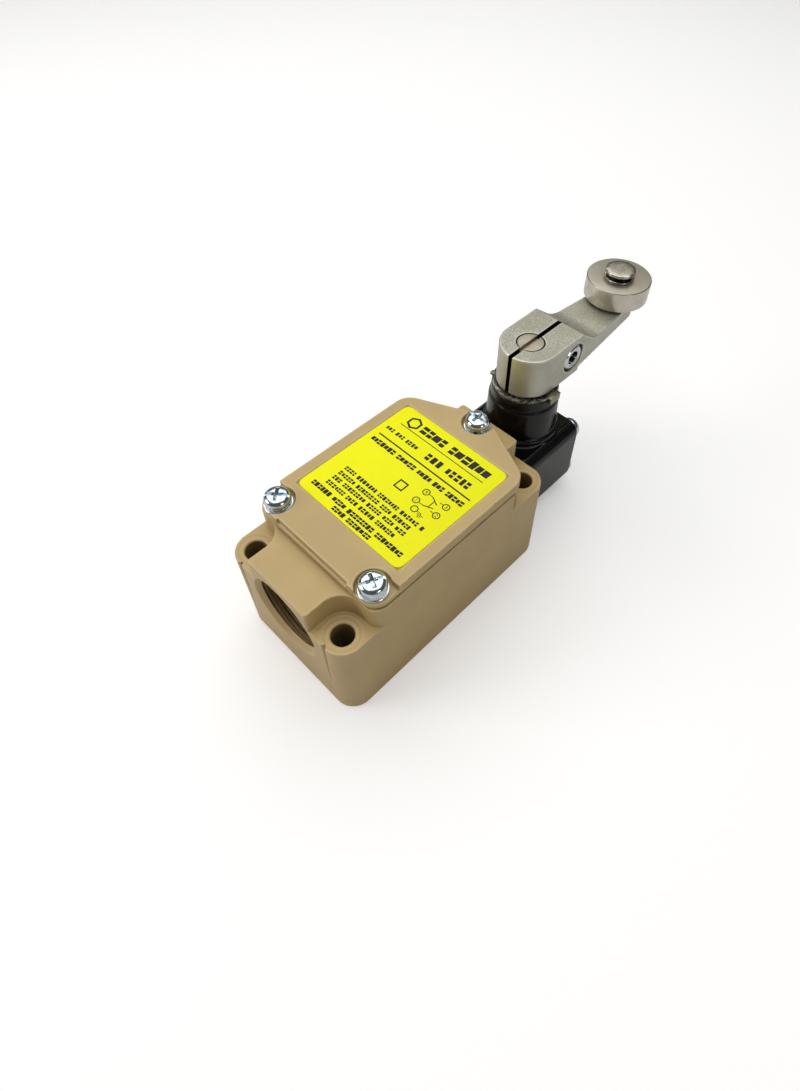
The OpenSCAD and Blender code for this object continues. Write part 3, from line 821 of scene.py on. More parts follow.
@dataclass
class Casting:
    """A casting whose edges and inner corners are soft, as a die leaves them."""

    name: str
    node: str
    body: Body
    finish: Finish
    grid_mm: float
    softening: int
    faces_kept: float = 1.0

    def tools(self) -> list[bpy.types.Object]:
        """What is cut out of the casting before its edges are softened."""
        return []

    def extras(self) -> list[bpy.types.Object]:
        """What is added to the casting before its edges are softened."""
        return []

    def build(self) -> bpy.types.Object:
        """Casts the piece.

        Returns:
            The finished piece.
        """
        made = carved(node_copy(self.name, self.node), self.tools())
        for extra in self.extras():
            merged(made.data, extra.data).to_mesh(made.data)
            bpy.data.objects.remove(extra)
        grid = self.grid_mm * 1.0
        modified(made, "REMESH", mode="VOXEL", voxel_size=grid * MM, use_smooth_shade=True)
        modified(made, "SMOOTH", factor=0.5, iterations=self.softening)
        if self.faces_kept < 1.0:
            modified(made, "DECIMATE", decimate_type="COLLAPSE", ratio=self.faces_kept)
        settle(made)
        made.data.polygons.foreach_set("use_smooth", [True] * len(made.data.polygons))
        mark_edges_and_hollows(made, 0.6, 3)
        modified(made, "WEIGHTED_NORMAL", mode="FACE_AREA", weight=50)
        return joined(settle(made), self.body, self.finish, self.node)


class NodeMaker(Graph):
    """A geometry node tree with named inputs, run once on a carrier mesh."""

    def __init__(self, name: str) -> None:
        """Starts the tree with its geometry in and out."""
        super().__init__(bpy.data.node_groups.new(name, "GeometryNodeTree"))
        for way in ("INPUT", "OUTPUT"):
            self.tree.interface.new_socket("Geometry", in_out=way, socket_type="NodeSocketGeometry")
        self.entry = self.node("NodeGroupInput")
        self.values: dict[str, object] = {}

    def size(self, name: str, kind: str, value: object) -> bpy.types.NodeSocket:
        """Adds a named input.

        Args:
            name: Its name.
            kind: Its socket type without the NodeSocket prefix.
            value: What it is set to.

        Returns:
            The socket that gives it inside the tree.
        """
        socket = self.tree.interface.new_socket(name, in_out="INPUT", socket_type="NodeSocket" + kind)
        self.values[socket.identifier] = value
        return self.entry.outputs[name]

    def run(self, name: str, shape: bpy.types.NodeSocket,
            carrier: Sequence[Point] = ((0.0, 0.0, 0.0),)) -> bpy.types.Object:
        """Ends the tree, runs it and keeps the plain mesh.

        Args:
            name: The new object's name.
            shape: The geometry to keep.
            carrier: Points in millimetres that the tree is run on.

        Returns:
            An object with a plain mesh.
        """
        real = self.node("GeometryNodeRealizeInstances", {}, {"Geometry": shape})
        self.node("NodeGroupOutput", {}, {"Geometry": real.outputs[0]})
        mesh = bpy.data.meshes.new(name)
        mesh.from_pydata([tuple(c * MM for c in p) for p in carrier], [], [])
        made = linked(name, mesh)
        modifier = made.modifiers.new("maker", "NODES")
        modifier.node_group = self.tree
        for key, value in self.values.items():
            modifier[key] = value
        return settle(made)


# ---- fasteners ----


@dataclass
class FastenerSet:
    """Identical fasteners set out on their seats by a geometry node tree."""

    name: str
    node: str
    seats: Sequence[Point]
    finish: Finish
    seed: int
    axis: Axis = Axis.Z
    swing: float = math.pi

    def build(self, template: bpy.types.Object) -> bpy.types.Object:
        """Sets the template on every seat, each turned by its own seeded angle.

        Args:
            template: One fastener, standing on z = 0; it is used up.

        Returns:
            The finished piece.
        """
        maker = NodeMaker(self.name + "_tree")
        shape = maker.size("Fastener", "Object", template)
        seed = maker.size("Turn seed", "Int", self.seed)
        swing = maker.size("Turn range", "Float", self.swing)
        lean = maker.size("Lean", "Rotation", self.axis.turn().to_euler())
        info = maker.node("GeometryNodeObjectInfo", {}, {"Object": shape})
        angle = maker.node("FunctionNodeRandomValue", {"data_type": "FLOAT"},
                           {2: 0.0, 3: swing, "Seed": seed})
        spin = maker.node("FunctionNodeAxisAngleToRotation", {},
                          {"Axis": (0.0, 0.0, 1.0), "Angle": angle.outputs[1]})
        leaning = maker.node("FunctionNodeRotateRotation", {"rotation_space": "LOCAL"},
                             {0: lean, 1: spin.outputs[0]})
        placed = maker.node("GeometryNodeInstanceOnPoints", {},
                            {"Points": maker.entry.outputs[0], "Instance": info.outputs["Geometry"],
                             "Rotation": leaning.outputs[0]})
        made = maker.run(self.name, placed.outputs[0], self.seats)
        bpy.data.objects.remove(template)
        return joined(mark_edges_and_hollows(smooth_shaded(made), 0.2), Body.CASE, self.finish, self.node)


@dataclass
class SplitWasher:
    """Spring washer: a rectangular section swept along one open turn of a helix."""

    radius: float = 2.4
    width: float = 1.35
    thick: float = 0.68
    turns: float = 0.955
    pitch: float = 0.12
    lift: float = 0.35

    def build(self) -> bpy.types.Object:
        """Winds the washer upwards from its lift.

        Returns:
            An object with a plain mesh.
        """
        maker = NodeMaker("split_washer_tree")
        radius = maker.size("Mean radius", "Float", self.radius * MM)
        path = maker.node("GeometryNodeCurveSpiral", {},
                          {"Resolution": 64, "Rotations": maker.size("Turns", "Float", self.turns),
                           "Start Radius": radius, "End Radius": radius,
                           "Height": maker.size("Height", "Float", self.turns * self.pitch * MM)})
        upright = maker.node("GeometryNodeSetCurveNormal", {"mode": "Z_UP"}, {"Curve": path.outputs[0]})
        section = maker.node("GeometryNodeCurvePrimitiveQuadrilateral", {"mode": "RECTANGLE"},
                             {"Width": maker.size("Width", "Float", self.width * MM),
                              "Height": maker.size("Thickness", "Float", self.thick * MM)})
        swept = maker.node("GeometryNodeCurveToMesh", {},
                           {"Curve": upright.outputs[0], "Profile Curve": section.outputs[0],
                            "Fill Caps": True})
        made = maker.run("split_washer", swept.outputs[0])
        made.data.transform(Matrix.Translation((0.0, 0.0, self.lift * MM)))
        bm = merged(eased(made, 0.08, 50).data)
        bmesh.ops.recalc_face_normals(bm, faces=bm.faces)
        bm.to_mesh(made.data)
        return smooth_shaded(made, 40)


def threads(radius: float, start: float, pitch: float, turns: int, deep: float,
            root: Flat) -> list[Flat]:
    """Thread grooves down a shank's outline.

    Args:
        radius: The shank's radius.
        start: Height of the first crest.
        pitch: Step from crest to crest.
        turns: How many grooves there are.
        deep: How deep they are.
        root: Where the root starts and ends, as shares of the pitch.

    Returns:
        Points of (radius, height), downwards.
    """
    points = []
    for z in (start - i * pitch for i in range(turns)):
        points += [(radius, z), *((radius - deep, z - share * pitch) for share in root)]
    return points


@dataclass
class PanScrew:
    """Pan-head machine screw with a combined slot and cross recess."""

    head_r: float = 3.15
    head_h: float = 2.3
    shank_r: float = 1.45
    shank_l: float = 8.0
    pitch: float = 0.7
    cross_w: float = 0.92
    cross_l: float = 3.7
    cross_deep: float = 1.45
    slot_w: float = 0.78
    slot_deep: float = 0.75
    crown: tuple[Flat, ...] = ((0.0, 1.0), (0.45, 0.985), (0.68, 0.93), (0.83, 0.82), (0.93, 0.64),
                               (0.985, 0.42), (1.0, 0.24), (0.99, 0.08), (0.955, 0.0))

    def build(self, name: str) -> bpy.types.Object:
        """One screw standing on z = 0 under its head."""
        r, tip, first = self.shank_r, -self.shank_l, -0.5
        turns = int((self.shank_l - 1.2) / self.pitch)
        outline = [(self.head_r * across, self.head_h * up) for across, up in self.crown]
        outline += [(r + 0.15, 0.0), (r, -0.15), *threads(r, first, self.pitch, turns, 0.28, (0.42, 0.58)),
                    (r, first - turns * self.pitch), (r * 0.7, tip), (0.0, tip)]
        reach, half = self.head_r + 0.5, self.slot_w / 2
        slot = prism(corners(-reach, -half, reach, half), self.head_h - self.slot_deep, self.head_h + 1.0)
        screw = as_object(name, revolved(outline, 64))
        carved(screw, [self._blade(0.0), self._blade(math.pi / 2), as_object("slot_tool", slot)])
        return eased(screw, 0.05, 42)

    def _blade(self, turn: float) -> bpy.types.Object:
        """Tool for one arm of the cross: a blade that tapers downwards."""
        reach, half = self.cross_l / 2, self.cross_w / 2
        ends = [[(x, y, z) for x, y in corners(-far, -side, far, side)]
                for z, far, side in ((self.head_h + 0.5, reach * 1.25, half * 1.05),
                                     (self.head_h - self.cross_deep, 0.7, half * 0.7))]
        return as_object("blade_tool", lofted(*ends), Matrix.Rotation(turn, 4, "Z"))


@dataclass
class CoverFixings:
    """Screws, spring washers and flat washers that hold the cover."""

    seats: tuple[Flat, ...] = ((-15.8, -20.6), (15.8, -20.6), (0.0, 28.7))
    flange_top: float = 35.7
    flat_t: float = 0.5
    flat_r: float = 3.35
    flat_bore: float = 1.9
    spring_t: float = 0.8

    def build(self) -> None:
        """Makes the three sets, each on top of the one before."""
        ring = rounded(corners(self.flat_bore, 0.0, self.flat_r, self.flat_t), 0.14, 3)
        spring_z = self.flange_top + self.flat_t
        FastenerSet("cover_flat_washer_set", "cover_flat_washers", self._at(self.flange_top), ZINC,
                    5).build(as_object("flat_washer", revolved(ring, 72)))
        FastenerSet("cover_spring_washer_set", "cover_spring_washers", self._at(spring_z), ZINC, 11,
                    swing=2 * math.pi).build(SplitWasher().build())
        FastenerSet("cover_screw_set", "cover_screws", self._at(spring_z + self.spring_t), ZINC,
                    8).build(PanScrew(shank_l=10.0).build("cover_screw"))

    def _at(self, z: float) -> list[Point]:
        """The three seats at a height."""
        return [(x, y, z) for x, y in self.seats]


# ---- housing and cover ----


@dataclass
class HousingCasting(Casting):
    """Painted body with its conduit mouth, mounting lugs and wiring space."""

    mouth_y: float = -34.2
    core_r: float = 10.3
    core_l: float = 12.0
    facing_r: float = 4.3
    facing_z: float = 27.27
    crease_x: float = 14.4

    def tools(self) -> list[bpy.types.Object]:
        """Thread core, creases beside the corner posts and faced rings round the holes."""
        core = as_object("core_tool", rod(self.core_r, 0.0, self.core_l, 96),
                         Axis.Y.at(0.0, self.mouth_y + 1.4, MOUTH_Z))
        facings = [as_object("facing_tool", rod(self.facing_r, 0.0, 1.0), Axis.Z.at(x, y, self.facing_z))
                   for x, y in HOLES]
        return [core, self._crease(-1), self._crease(1), *facings]

    def _crease(self, side: int) -> bpy.types.Object:
        """Tapering groove where a corner post meets the mouth face."""
        x, y = side * self.crease_x, self.mouth_y
        ends = [((x - half, y - 0.5, z), (x + half, y - 0.5, z), (x, y + deep, z))
                for z, half, deep in ((27.8, 0.6, 1.7), (2.5, 0.35, 0.6))]
        return as_object("crease_tool", lofted(*ends))


@dataclass
class ConduitThread:
    """Cut pipe thread inside the conduit mouth."""

    minor_r: float = 9.4
    root_r: float = 10.36
    back_r: float = 10.9
    pitch: float = 1.81
    start_y: float = -32.9
    length: float = 12.4
    segments: int = 96

    def build(self) -> bpy.types.Object:
        """A sleeve whose inner wall is a helical thread.

        Returns:
            The finished piece.
        """
        columns = (turned(self._column(k / self.segments), k / self.segments)
                   for k in range(self.segments + 1))
        place = Axis.Y.at(0.0, self.start_y, MOUTH_Z)
        made = as_object("conduit_thread_sleeve", skinned(columns, 1e-4), place)
        # The thread's darker enamel is painted shade inside the mouth.
        return joined(smooth_shaded(made, 40), Body.CASE, SHADED_THREAD_ENAMEL)

    def _column(self, share: float) -> list[Flat]:
        """The sleeve's section after a share of a turn."""
        root, crest = self.root_r, self.minor_r
        flats = ((0.0, root), (0.18, root), (0.44, crest), (0.62, crest), (0.94, root))
        column = [(self.back_r, 0.0), (root, 0.0)]
        for turn in range(-1, int(self.length / self.pitch) + 1):
            for at, radius in flats:
                z = (turn + at + share) * self.pitch
                held = min(max(z, 0.0), self.length)
                column.append((radius if z == held else root, held))
        return column + [(root, self.length), (self.back_r, self.length)]


@dataclass
class CoverCasting(Casting):
    """Painted cover with its label recess, its screw notches and a lip along its front edge."""

    front_y: float = -24.2
    lip_z: float = 35.7
    lip_deep: float = 0.5
    lip_half_w: float = 11.6
    over_z: float = 40.0

    def tools(self) -> list[bpy.types.Object]:
        """The step that leaves the lip standing."""
        step = corners(-self.lip_half_w, self.front_y - 1.0, self.lip_half_w, self.front_y + self.lip_deep)
        return [as_object("step_tool", prism(step, self.lip_z, self.over_z))]


class Ink:
    """Flat marks of ink at one height, gathered in one mesh."""

    def __init__(self, z: float) -> None:
        """Starts with no marks."""
        self.bm = bmesh.new()
        self.z = z

    def patch(self, outline: Iterable[Flat]) -> None:
        """A patch with the given corners, which faces up."""
        made = self.bm.faces.new([self.bm.verts.new((x, y, self.z)) for x, y in outline])
        made.normal_update()
        if made.normal.z < 0:
            made.normal_flip()

    def bar(self, x0: float, x1: float, y: float, tall: float, slant: float = 0.0) -> None:
        """A bar from x0 to x1 about the height y."""
        h, lean = tall / 2, slant * tall / 2
        self.patch(((x0 - lean, y - h), (x1 - lean, y - h), (x1 + lean, y + h), (x0 + lean, y + h)))

    def ring(self, x: float, y: float, outer: float, inner: float, sides: int) -> None:
        """A ring with the given number of sides."""
        flat = [(math.cos(a), math.sin(a)) for a in (2 * math.pi * (k + 0.5) / sides for k in range(sides))]
        for (c0, s0), (c1, s1) in zip(flat, flat[1:] + flat[:1]):
            self.patch(((x + inner * c0, y + inner * s0), (x + outer * c0, y + outer * s0),
                        (x + outer * c1, y + outer * s1), (x + inner * c1, y + inner * s1)))

    def line(self, x0: float, y0: float, x1: float, y1: float, wide: float) -> None:
        """A straight line."""
        start, end = Vector((x0, y0)), Vector((x1, y1))
        side = (end - start).orthogonal().normalized() * wide / 2
        self.patch(p[:] for p in (start - side, end - side, end + side, start + side))

    def words(self, x0: float, x1: float, y: float, tall: float, letter: float, heavy: float,
              rng: np.random.Generator, slant: float = 0.0) -> None:
        """A row of greeked blocks, in groups of three to eight.

        Args:
            x0: Start of the row.
            x1: End of the row.
            y: Middle of the row.
            tall: Height of the blocks.
            letter: Mean step from block to block.
            heavy: Share of each step that is inked.
            rng: Source of the widths.
            slant: Lean of the blocks.
        """
        x = x0
        left = int(rng.integers(3, 8))
        while x + letter * 0.6 < x1:
            wide = letter * float(rng.uniform(0.75, 1.12))
            end = min(x + wide * heavy, x1)
            if rng.uniform() < 0.5:
                self.bar(x, end, y, tall * float(rng.choice((1.0, 0.8))), slant)
            else:
                for up in (0.29, -0.29):
                    self.bar(x, end, y + tall * up, tall * 0.42, slant)
            x += wide
            left -= 1
            if left == 0:
                x += letter * 0.7
                left = int(rng.integers(3, 9))

    def digit(self, text: str, x: float, y: float, size: float) -> None:
        """A digit about a point."""
        curve = bpy.data.curves.new("digit", "FONT")
        curve.body = text
        curve.size = size
        curve.align_x, curve.align_y = "CENTER", "CENTER"
        letter = linked("digit", curve)
        bpy.context.view_layer.update()
        flat = bpy.data.meshes.new_from_object(letter)
        flat.transform(Matrix.Translation((x, y, self.z)))
        self.bm.from_mesh(flat)
        bpy.data.objects.remove(letter)
        bpy.data.meshes.remove(flat)


@dataclass
class PrintedLabel:
    """Yellow film label with greeked rows, rules and a small contact diagram."""

    half_w: float = 16.8
    y0: float = -14.55
    y1: float = 21.1
    z0: float = 36.91
    z1: float = 37.2
    corner_r: float = 2.0
    ink: float = 0.015
    seed: int = 21
    terminals: tuple[tuple[str, float, float], ...] = (
        ("4", 6.5, 4.2), ("1", 6.4, 1.0), ("3", 12.7, 4.2), ("2", 12.7, 1.0),
    )

    def build(self) -> None:
        """Makes the film and the print on it."""
        outline = rounded(corners(-self.half_w, self.y0, self.half_w, self.y1), self.corner_r, 10)
        film = eased(as_object("label_film_sheet", prism(outline, self.z0, self.z1)), 0.1, 60)
        joined(smooth_shaded(film), Body.CASE, LABEL_FILM, "label_plate")
        ink = Ink(self.z1 + self.ink)
        self._rows(ink)
        self._diagram(ink)
        joined(as_object("label_print", ink.bm), Body.CASE, LABEL_INK)

    def _rows(self, ink: Ink) -> None:
        """The rows and rules, from the head end to the conduit end."""
        rng = np.random.default_rng(self.seed)
        ink.ring(-10.9, 17.6, 2.1, 1.45, 6)
        ink.words(-8.2, 13.9, 17.6, 2.5, 2.2, 0.86, rng, 0.1)
        ink.bar(-13.4, 13.8, 15.2, 0.22)
        ink.words(-15.0, -3.2, 12.1, 1.2, 1.0, 0.74, rng)
        ink.words(-1.3, 13.7, 12.1, 2.1, 1.8, 0.7, rng)
        ink.bar(-14.8, 15.2, 9.3, 0.4)
        ink.words(-15.0, 15.3, 7.2, 1.45, 1.15, 0.84, rng, 0.06)
        ink.ring(0.9, 1.6, 1.9, 1.35, 4)
        for y, x1 in ((-3.7, 13.8), (-5.6, 11.7), (-7.4, 11.8), (-9.3, 10.3)):
            ink.words(-12.2, x1, y, 1.15, 0.98, 0.76, rng)
        ink.words(-14.5, 15.4, -11.6, 1.3, 1.1, 0.84, rng, 0.06)
        ink.words(-5.4, 7.9, -13.35, 1.2, 1.1, 0.84, rng, 0.06)

    def _diagram(self, ink: Ink) -> None:
        """Two contacts between four numbered terminals, and an earth mark."""
        for x, y in (*(spot[1:] for spot in self.terminals), (7.9, -1.0)):
            ink.ring(x, y, 0.95, 0.7, 28)
        leads = ((7.5, 4.2, 8.6, 4.2), (11.8, 4.2, 10.8, 4.2), (7.4, 1.0, 8.6, 1.0), (11.8, 1.0, 10.8, 1.0))
        blades = ((8.6, 4.2, 10.8, 3.1), (8.6, 1.0, 10.9, 1.9))
        earth = ((8.8, -1.0, 10.0, -1.0), (10.0, -1.0, 10.0, -1.4),
                 *((10.0 - half, y, 10.0 + half, y) for half, y in ((0.9, -1.4), (0.6, -1.75), (0.3, -2.1))))
        for wide, lines in ((0.18, leads), (0.26, blades), (0.22, ((9.7, 1.4, 9.7, 3.6),)), (0.16, earth)):
            for ends in lines:
                ink.line(*ends, wide)
        for text, x, y in self.terminals:
            ink.digit(text, x, y, 1.35)


# ---- rotary head ----


@dataclass
class HeadCasting(Casting):
    """Black head with its plinth, collar and shaft bore."""

    rib_x: float = 10.6
    rib_y: float = 45.8
    rib_z: float = 24.75
    rib_r: float = 0.55
    rib_half_l: float = 9.5

    def extras(self) -> list[bpy.types.Object]:
        """A low rib along the top, beside the collar."""
        bar = rounded(corners(0.0, -self.rib_half_l, self.rib_r, self.rib_half_l), 0.2, 2)
        return [as_object("rib", revolved(bar, 24), Axis.Y.at(self.rib_x, self.rib_y, self.rib_z))]


# ---- lever, roller and shaft ----


@dataclass
class ClampScrew:
    """Socket screw across the lever's split."""

    y: float = 55.9
    z: float = 46.3
    seat_x: float = 3.7
    face_x: float = 7.6
    end_x: float = -8.3
    head_r: float = 3.6
    shank_r: float = 2.5
    pitch: float = 0.8
    socket_r: float = 1.98
    socket_deep: float = 3.0

    def build(self) -> bpy.types.Object:
        """Turns the screw, with a dished face, and broaches its socket."""
        deep, tail = self.face_x - self.seat_x, self.end_x - self.seat_x
        rim, r, first = self.head_r, self.shank_r, -1.0
        turns = math.ceil((first - tail - 0.4) / self.pitch) - 1
        outline = [(0.0, deep - 0.1), (2.35, deep - 0.1), (2.5, deep), (2.95, deep), (rim - 0.1, deep - 0.45),
                   (rim, deep - 0.7), (rim, 0.1), (rim - 0.1, 0.0), (r, 0.0),
                   *threads(r, first, self.pitch, turns, 0.3, (0.45, 0.6)),
                   (r, first - turns * self.pitch), (r - 0.4, tail), (0.0, tail)]
        place = Axis.X.at(self.seat_x, self.y, self.z)
        screw = as_object("lever_clamp_socket_screw", revolved(outline, 72), place)
        hexagon = [turned([(self.socket_r, 0.0)], k / 6)[0][:2] for k in range(6)]
        tool = as_object("socket_tool", prism(hexagon, deep - self.socket_deep, deep + 1), place)
        screw = eased(carved(screw, [tool]), 0.07)
        return joined(smooth_shaded(screw), Body.LEVER, SOCKET_ZINC, "lever_clamp_screw")


@dataclass
class RollerGear:
    """Roller, its bush, its pin and the washer under it."""

    arm_z0: float = 41.6
    arm_z1: float = 46.4
    washer_t: float = 0.6
    washer_r: float = 6.6
    z0: float = 47.1
    z1: float = 53.0
    roller_r: float = 8.75
    bush_r: float = 3.5
    pin_r: float = 2.5
    rim_r: float = 4.0
    rim_t: float = 0.3
    neck_r: float = 3.4
    neck_t: float = 1.0
    head_r: float = 4.1
    head_t: float = 1.0
    lobes: int = 9
    lobed_r: float = 3.7
    lobe_deep: float = 0.025

    def build(self) -> None:
        """Makes the four pieces."""
        rim, low, high = self.roller_r, self.z0, self.z1
        bore, crown = self.pin_r + 0.05, high + self.rim_t
        wheel = rounded([(self.bush_r, low + 0.2), (self.bush_r + 0.35, low), (rim - 0.3, low),
                         (rim, low + 0.3), (rim, high - 0.22), (rim - 0.22, high), (self.bush_r, high)],
                        (0.1, 0.1, 0.14, 0.14, 0.1, 0.1, 0.0), 3)
        bush = rounded([(bore, low), (self.bush_r, low), (self.bush_r, high), (self.rim_r, high),
                        (self.rim_r, crown), (bore, crown)], (0.1, 0.1, 0.0, 0.0, 0.12, 0.1), 3)
        seat = self.arm_z1
        washer = rounded(corners(self.pin_r, seat, self.washer_r, seat + self.washer_t), 0.12, 3)
        place = Axis.Z.at(0.0, ROLLER_Y, 0.0)
        for name, mesh, angle, edges_and_hollows, body, finish, node in (
                ("roller_wheel", revolved(wheel, 160), 24, 0.3, Body.ROLLER, ROLLER_STEEL, "roller"),
                ("roller_bushing", revolved(bush), 32, 0.25, Body.ROLLER, RIM_STEEL, "roller_bush"),
                # The spacer's black stands partly for painted shadow under the roller.
                ("roller_spacer", revolved(washer), 32, 0.25, Body.LEVER, BLACK_WASHER_AND_SHADOW, "roller_washer"),
                ("roller_rivet_pin", self._pin(), 32, 0.25, Body.LEVER, PIN_STEEL, "roller_pin")):
            made = smooth_shaded(as_object(name, mesh, place), angle)
            joined(mark_edges_and_hollows(made, edges_and_hollows), body, finish, node)

    def _pin(self) -> bmesh.types.BMesh:
        """Riveted pin: peened head on a neck above the roller, spun end under the arm."""
        low, foot, r = self.z1 + self.rim_t + 0.1, self.arm_z0, self.head_r
        under, top = low + self.neck_t, low + self.neck_t + self.head_t
        bm = revolved([(0.0, top - 0.02), (1.6, top - 0.02), (3.0, top - 0.03), (3.7, top - 0.09),
                       (r - 0.1, top - 0.22), (r, top - 0.4), (r, under + 0.12), (r - 0.12, under),
                       (self.neck_r, under), (self.neck_r, low), (self.pin_r, low), (self.pin_r, foot),
                       (3.5, foot - 0.02), (3.7, foot - 0.3), (3.3, foot - 0.72), (1.9, foot - 0.9),
                       (0.0, foot - 0.9)])
        for vert in bm.verts:
            if vert.co.z > under and math.hypot(vert.co.x, vert.co.y) > self.lobed_r:
                turn = math.atan2(vert.co.y, vert.co.x)
                vert.co.xy *= 1.0 - self.lobe_deep * (0.5 + 0.5 * math.cos(self.lobes * turn + 0.8))
        return bm


@dataclass
class RotaryShaft:
    """Slotted shaft that carries the lever and the cam."""

    r: float = 3.5
    top: float = 52.0
    step_z: float = 6.4
    pivot_r: float = 2.4
    pivot_z: float = 4.2
    slot_w: float = 1.05
    slot_deep: float = 1.1
    pin_r: float = 1.0
    pin_z: float = 14.0
    pin_half_l: float = 6.0

    def build(self) -> bpy.types.Object:
        """Turns the shaft, saws its slot and drills it for the cam's pin."""
        r, top, step, pivot, foot = self.r, self.top, self.step_z, self.pivot_r, self.pivot_z
        outline = [(0.0, top - 0.02), (r - 0.28, top - 0.02), (r - 0.1, top - 0.2), (r - 0.06, top - 11.0),
                   (r, top - 11.2), (r, step + 0.2), (r - 0.2, step), (pivot, step), (pivot, foot + 0.3),
                   (pivot - 0.3, foot), (0.0, foot)]
        half, reach = self.slot_w / 2, r + 1
        slot = prism(corners(-half, -reach, half, reach), top - self.slot_deep, top + 1)
        hole = rod(self.pin_r, -self.pin_half_l, self.pin_half_l, 32)
        place = Axis.Z.at(0.0, SHAFT_Y, 0.0)
        shaft = as_object("switch_shaft", revolved(outline), place)
        carved(shaft, [as_object("slot_tool", slot, place),
                       as_object("pin_tool", hole, Axis.X.at(0.0, SHAFT_Y, self.pin_z))])
        return joined(smooth_shaded(eased(shaft, 0.05)), Body.LEVER, SHAFT_STEEL, "shaft")


# ---- inside ----


@dataclass
class Springs:
    """The three coil springs inside the head and the switch."""

    travel_mm: float = 1.7
    pushed: tuple[tuple[str, str], ...] = (
        ("plunger_spring", "plunger_push"), ("contact_spring", "switch_push"),
    )

    def build(self) -> None:
        """Winds them; the two pushed ones also get meshes of their own."""
        self._wind("return_spring")
        for node, joint in self.pushed:
            wire = self._wind(node)
            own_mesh(wire)

    @staticmethod
    def _wind(node: str) -> bpy.types.Object:
        """Winds the spring of a node of the frame."""
        return joined(smooth_shaded(node_copy(node + "_wire", node), 60), Body.CASE, SPRING_STEEL, node)


INNER_PIECES = (
    ("switch_case", Body.CASE, PHENOLIC, 0.25), ("switch_lid", Body.CASE, PHENOLIC, 0.2),
    ("terminal_clamps", Body.CASE, NICKEL, 0.15), ("nc_contacts", Body.CASE, BRASS, 0.1),
    ("no_contacts", Body.CASE, BRASS, 0.1), ("cam", Body.LEVER, TOOL_STEEL, 0.3),
    ("head_plunger", Body.PLUNGER, TOOL_STEEL, 0.2), ("switch_button", Body.SLIDE, BUTTON_NYLON, 0.2),
    ("contact_bridge", Body.SLIDE, BRASS, 0.1), ("cover_gasket", Body.CASE, RUBBER, 0.12),
    ("head_gasket", Body.CASE, RUBBER, 0.1), ("stop_ring", Body.CASE, STOP_STEEL, 0.15),
    ("ground_washer", Body.CASE, NICKEL, 0.1), ("shaft_bushing", Body.CASE, BRONZE, 0.2),
    ("plunger_guide", Body.CASE, BRONZE, 0.2), ("shaft_seal", Body.CASE, RUBBER, 0.2),
    ("cam_pin", Body.LEVER, TOOL_STEEL, 0.2),
)


def build_insides() -> None:
    """Seals, cam, contacts and built-in switch: the frame's shapes with their edges softened."""
    for node, body, finish, width in INNER_PIECES:
        piece = node_copy(node + "_piece", node)
        bm = merged(piece.data)
        bmesh.ops.dissolve_limit(bm, angle_limit=math.radians(1.0), verts=bm.verts, edges=bm.edges)
        bm.to_mesh(piece.data)
        joined(smooth_shaded(eased(piece, width)), body, finish, node)


def build_inner_screws() -> None:
    """Terminal, switch and earth screws."""
    terminals = [(x, y, 22.2) for x in (-7.6, 7.6) for y in (2.0, 13.4)]
    switch = [(x, -6.2, 9.0) for x in (-7.5, 7.5)]
    for name, node, seats, finish, seed, screw in (
            ("terminal_screw", "terminal_screws", terminals, ZINC, 4, PanScrew(3.0, shank_l=5.0)),
            ("switch_screw", "switch_screws", switch, ZINC, 6, PanScrew(2.7, 2.0, shank_l=7.6)),
            ("earth_screw", "ground_screw", [(11.0, -13.5, 4.6)], GREEN_ZINC, 7,
             PanScrew(shank_r=1.75, shank_l=3.4))):
        FastenerSet(name + "_set", node, seats, finish, seed).build(screw.build(name))


# ---- stage ----


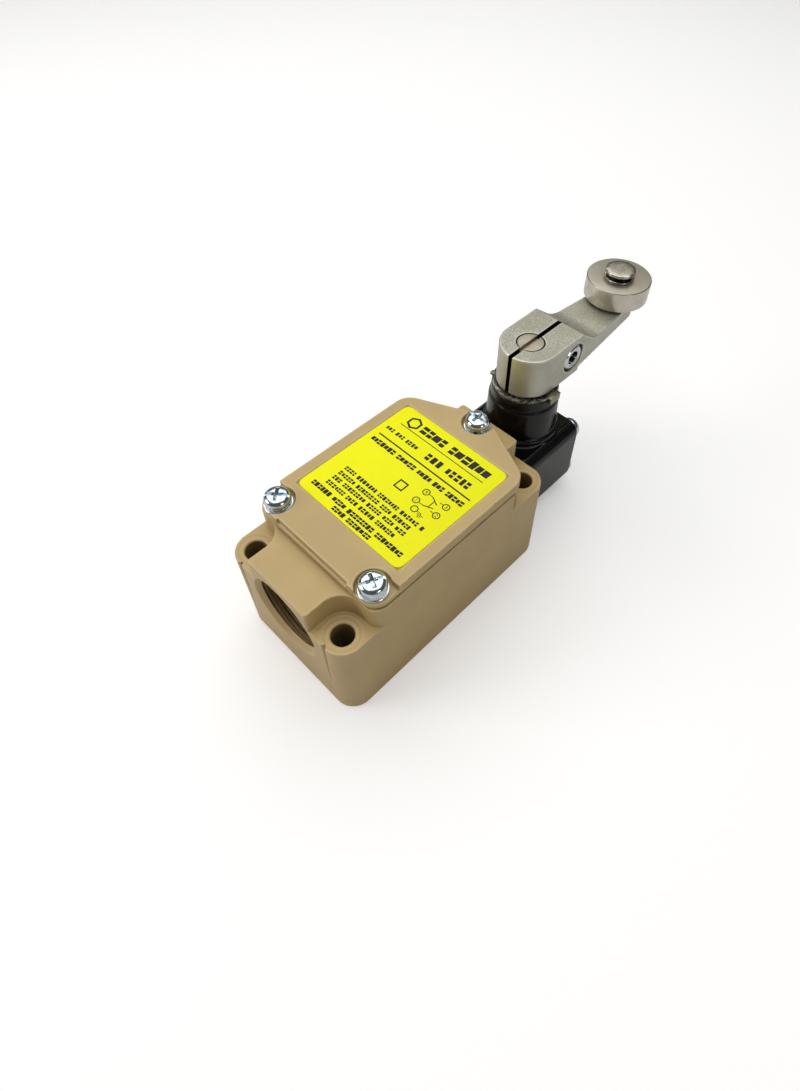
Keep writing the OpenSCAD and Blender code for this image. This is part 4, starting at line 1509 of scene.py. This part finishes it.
@dataclass
class Studio:
    """Floor, soft lights and the camera."""

    eye: Point = (0.0739, -0.06238, 0.1565)
    look: Point = (-0.4378, 0.48034, -0.7600)
    roll_deg: float = 1.619
    lens: float = 22.109
    shift: Flat = (-0.0449, -0.071)
    floor_half: float = 3000.0
    floor_glow: float = 0.34
    sky: float = 0.10

    def build(self) -> None:
        """Sets the stage, with plain display colours so that the bright film keeps its yellow."""
        self._floor()
        self._world()
        self._light("overhead", (-0.16, 0.12, 0.64), (0.0, 0.03, 0.02), 0.95, 4.7, (1.0, 0.99, 0.97))
        self._light("left_front", (-0.34, -0.44, 0.26), (0.0, -0.01, 0.02), 0.26, 1.1, (1.0, 0.96, 0.94))
        self._light("right_strip", (0.42, -0.02, 0.2), (0.0, 0.05, 0.03), 0.12, 0.2, (1.0, 0.98, 0.95))
        bpy.context.scene.view_settings.view_transform = "Standard"
        self._camera()

    def _floor(self) -> None:
        """A pale floor that glows a little to the camera only."""
        bm = bmesh.new()
        bmesh.ops.create_grid(bm, x_segments=2, y_segments=2, size=self.floor_half)
        floor = as_object("floor", bm, Matrix.Translation((0.0, 0.0, -0.02)))
        coat = Coating("floor_paper")
        seen = Value(coat, coat.node("ShaderNodeLightPath").outputs["Is Camera Ray"])
        coat.set(Base_Color=(0.8, 0.8, 0.8, 1.0), Roughness=0.9, Specular_IOR_Level=0.1,
                 Emission_Color=(1.0, 1.0, 1.0, 1.0), Emission_Strength=seen * self.floor_glow)
        floor.data.materials.append(coat.material)

    def _world(self) -> None:
        """Pale even surroundings."""
        world = bpy.data.worlds.new("surroundings")
        bpy.context.scene.world = world
        world.use_nodes = True
        world.node_tree.nodes.clear()
        graph = Graph(world.node_tree)
        sky = graph.node("ShaderNodeBackground", {}, {"Color": (1.0, 1.0, 1.0, 1.0), "Strength": self.sky})
        graph.node("ShaderNodeOutputWorld", {}, {"Surface": sky.outputs[0]})

    @staticmethod
    def _light(name: str, at: Point, aim: Point, size: float, power: float, colour: Colour) -> None:
        """One soft square light."""
        data = bpy.data.lights.new(name, "AREA")
        data.shape, data.size, data.energy, data.color = "SQUARE", size, power, colour
        lamp = linked(name, data)
        lamp.location = at
        lamp.rotation_euler = (Vector(aim) - Vector(at)).to_track_quat("-Z", "Y").to_euler()

    def _camera(self) -> None:
        """The camera, level but for a slight roll."""
        data = bpy.data.cameras.new("camera")
        data.sensor_width, data.lens = 36.0, self.lens
        data.shift_x, data.shift_y = self.shift
        data.clip_start, data.clip_end = 0.01, 10.0
        forward = Vector(self.look).normalized()
        level = forward.cross(Vector((0.0, 0.0, 1.0))).normalized()
        roll = math.radians(self.roll_deg)
        right = level * math.cos(roll) + level.cross(forward) * math.sin(roll)
        turn = Matrix((right, right.cross(forward), -forward)).transposed().to_4x4()
        camera = linked("camera", data)
        camera.matrix_world = Matrix.Translation(self.eye) @ turn
        bpy.context.scene.camera = camera


def main() -> None:
    """Builds the stage and the sub-assemblies in order."""
    logging.basicConfig(level=logging.INFO, format="%(message)s")
    Studio().build()
    HousingCasting("housing_casting", "housing", Body.CASE, CASE_ENAMEL, grid_mm=0.23, softening=2,
                   faces_kept=0.2).build()
    ConduitThread().build()
    CoverCasting("cover_casting", "cover", Body.CASE, CASE_ENAMEL, grid_mm=0.2, softening=2,
                 faces_kept=0.7).build()
    PrintedLabel().build()
    CoverFixings().build()
    HeadCasting("head_casting", "head_casing", Body.CASE, HEAD_ENAMEL, grid_mm=0.26, softening=6).build()
    head_seats = [(x, 57.0, z) for x in (-9.8, 9.8) for z in (6.6, 21.4)]
    FastenerSet("head_screw_set", "head_screws", head_seats, ZINC, 2,
                Axis.Y).build(PanScrew(3.0, shank_l=29.0).build("head_screw"))
    Casting("lever_casting", "lever_arm", Body.LEVER, LEVER_CAST, grid_mm=0.18, softening=4).build()
    ClampScrew().build()
    RollerGear().build()
    RotaryShaft().build()
    Springs().build()
    build_insides()
    build_inner_screws()


if __name__ == "__main__":
    main()
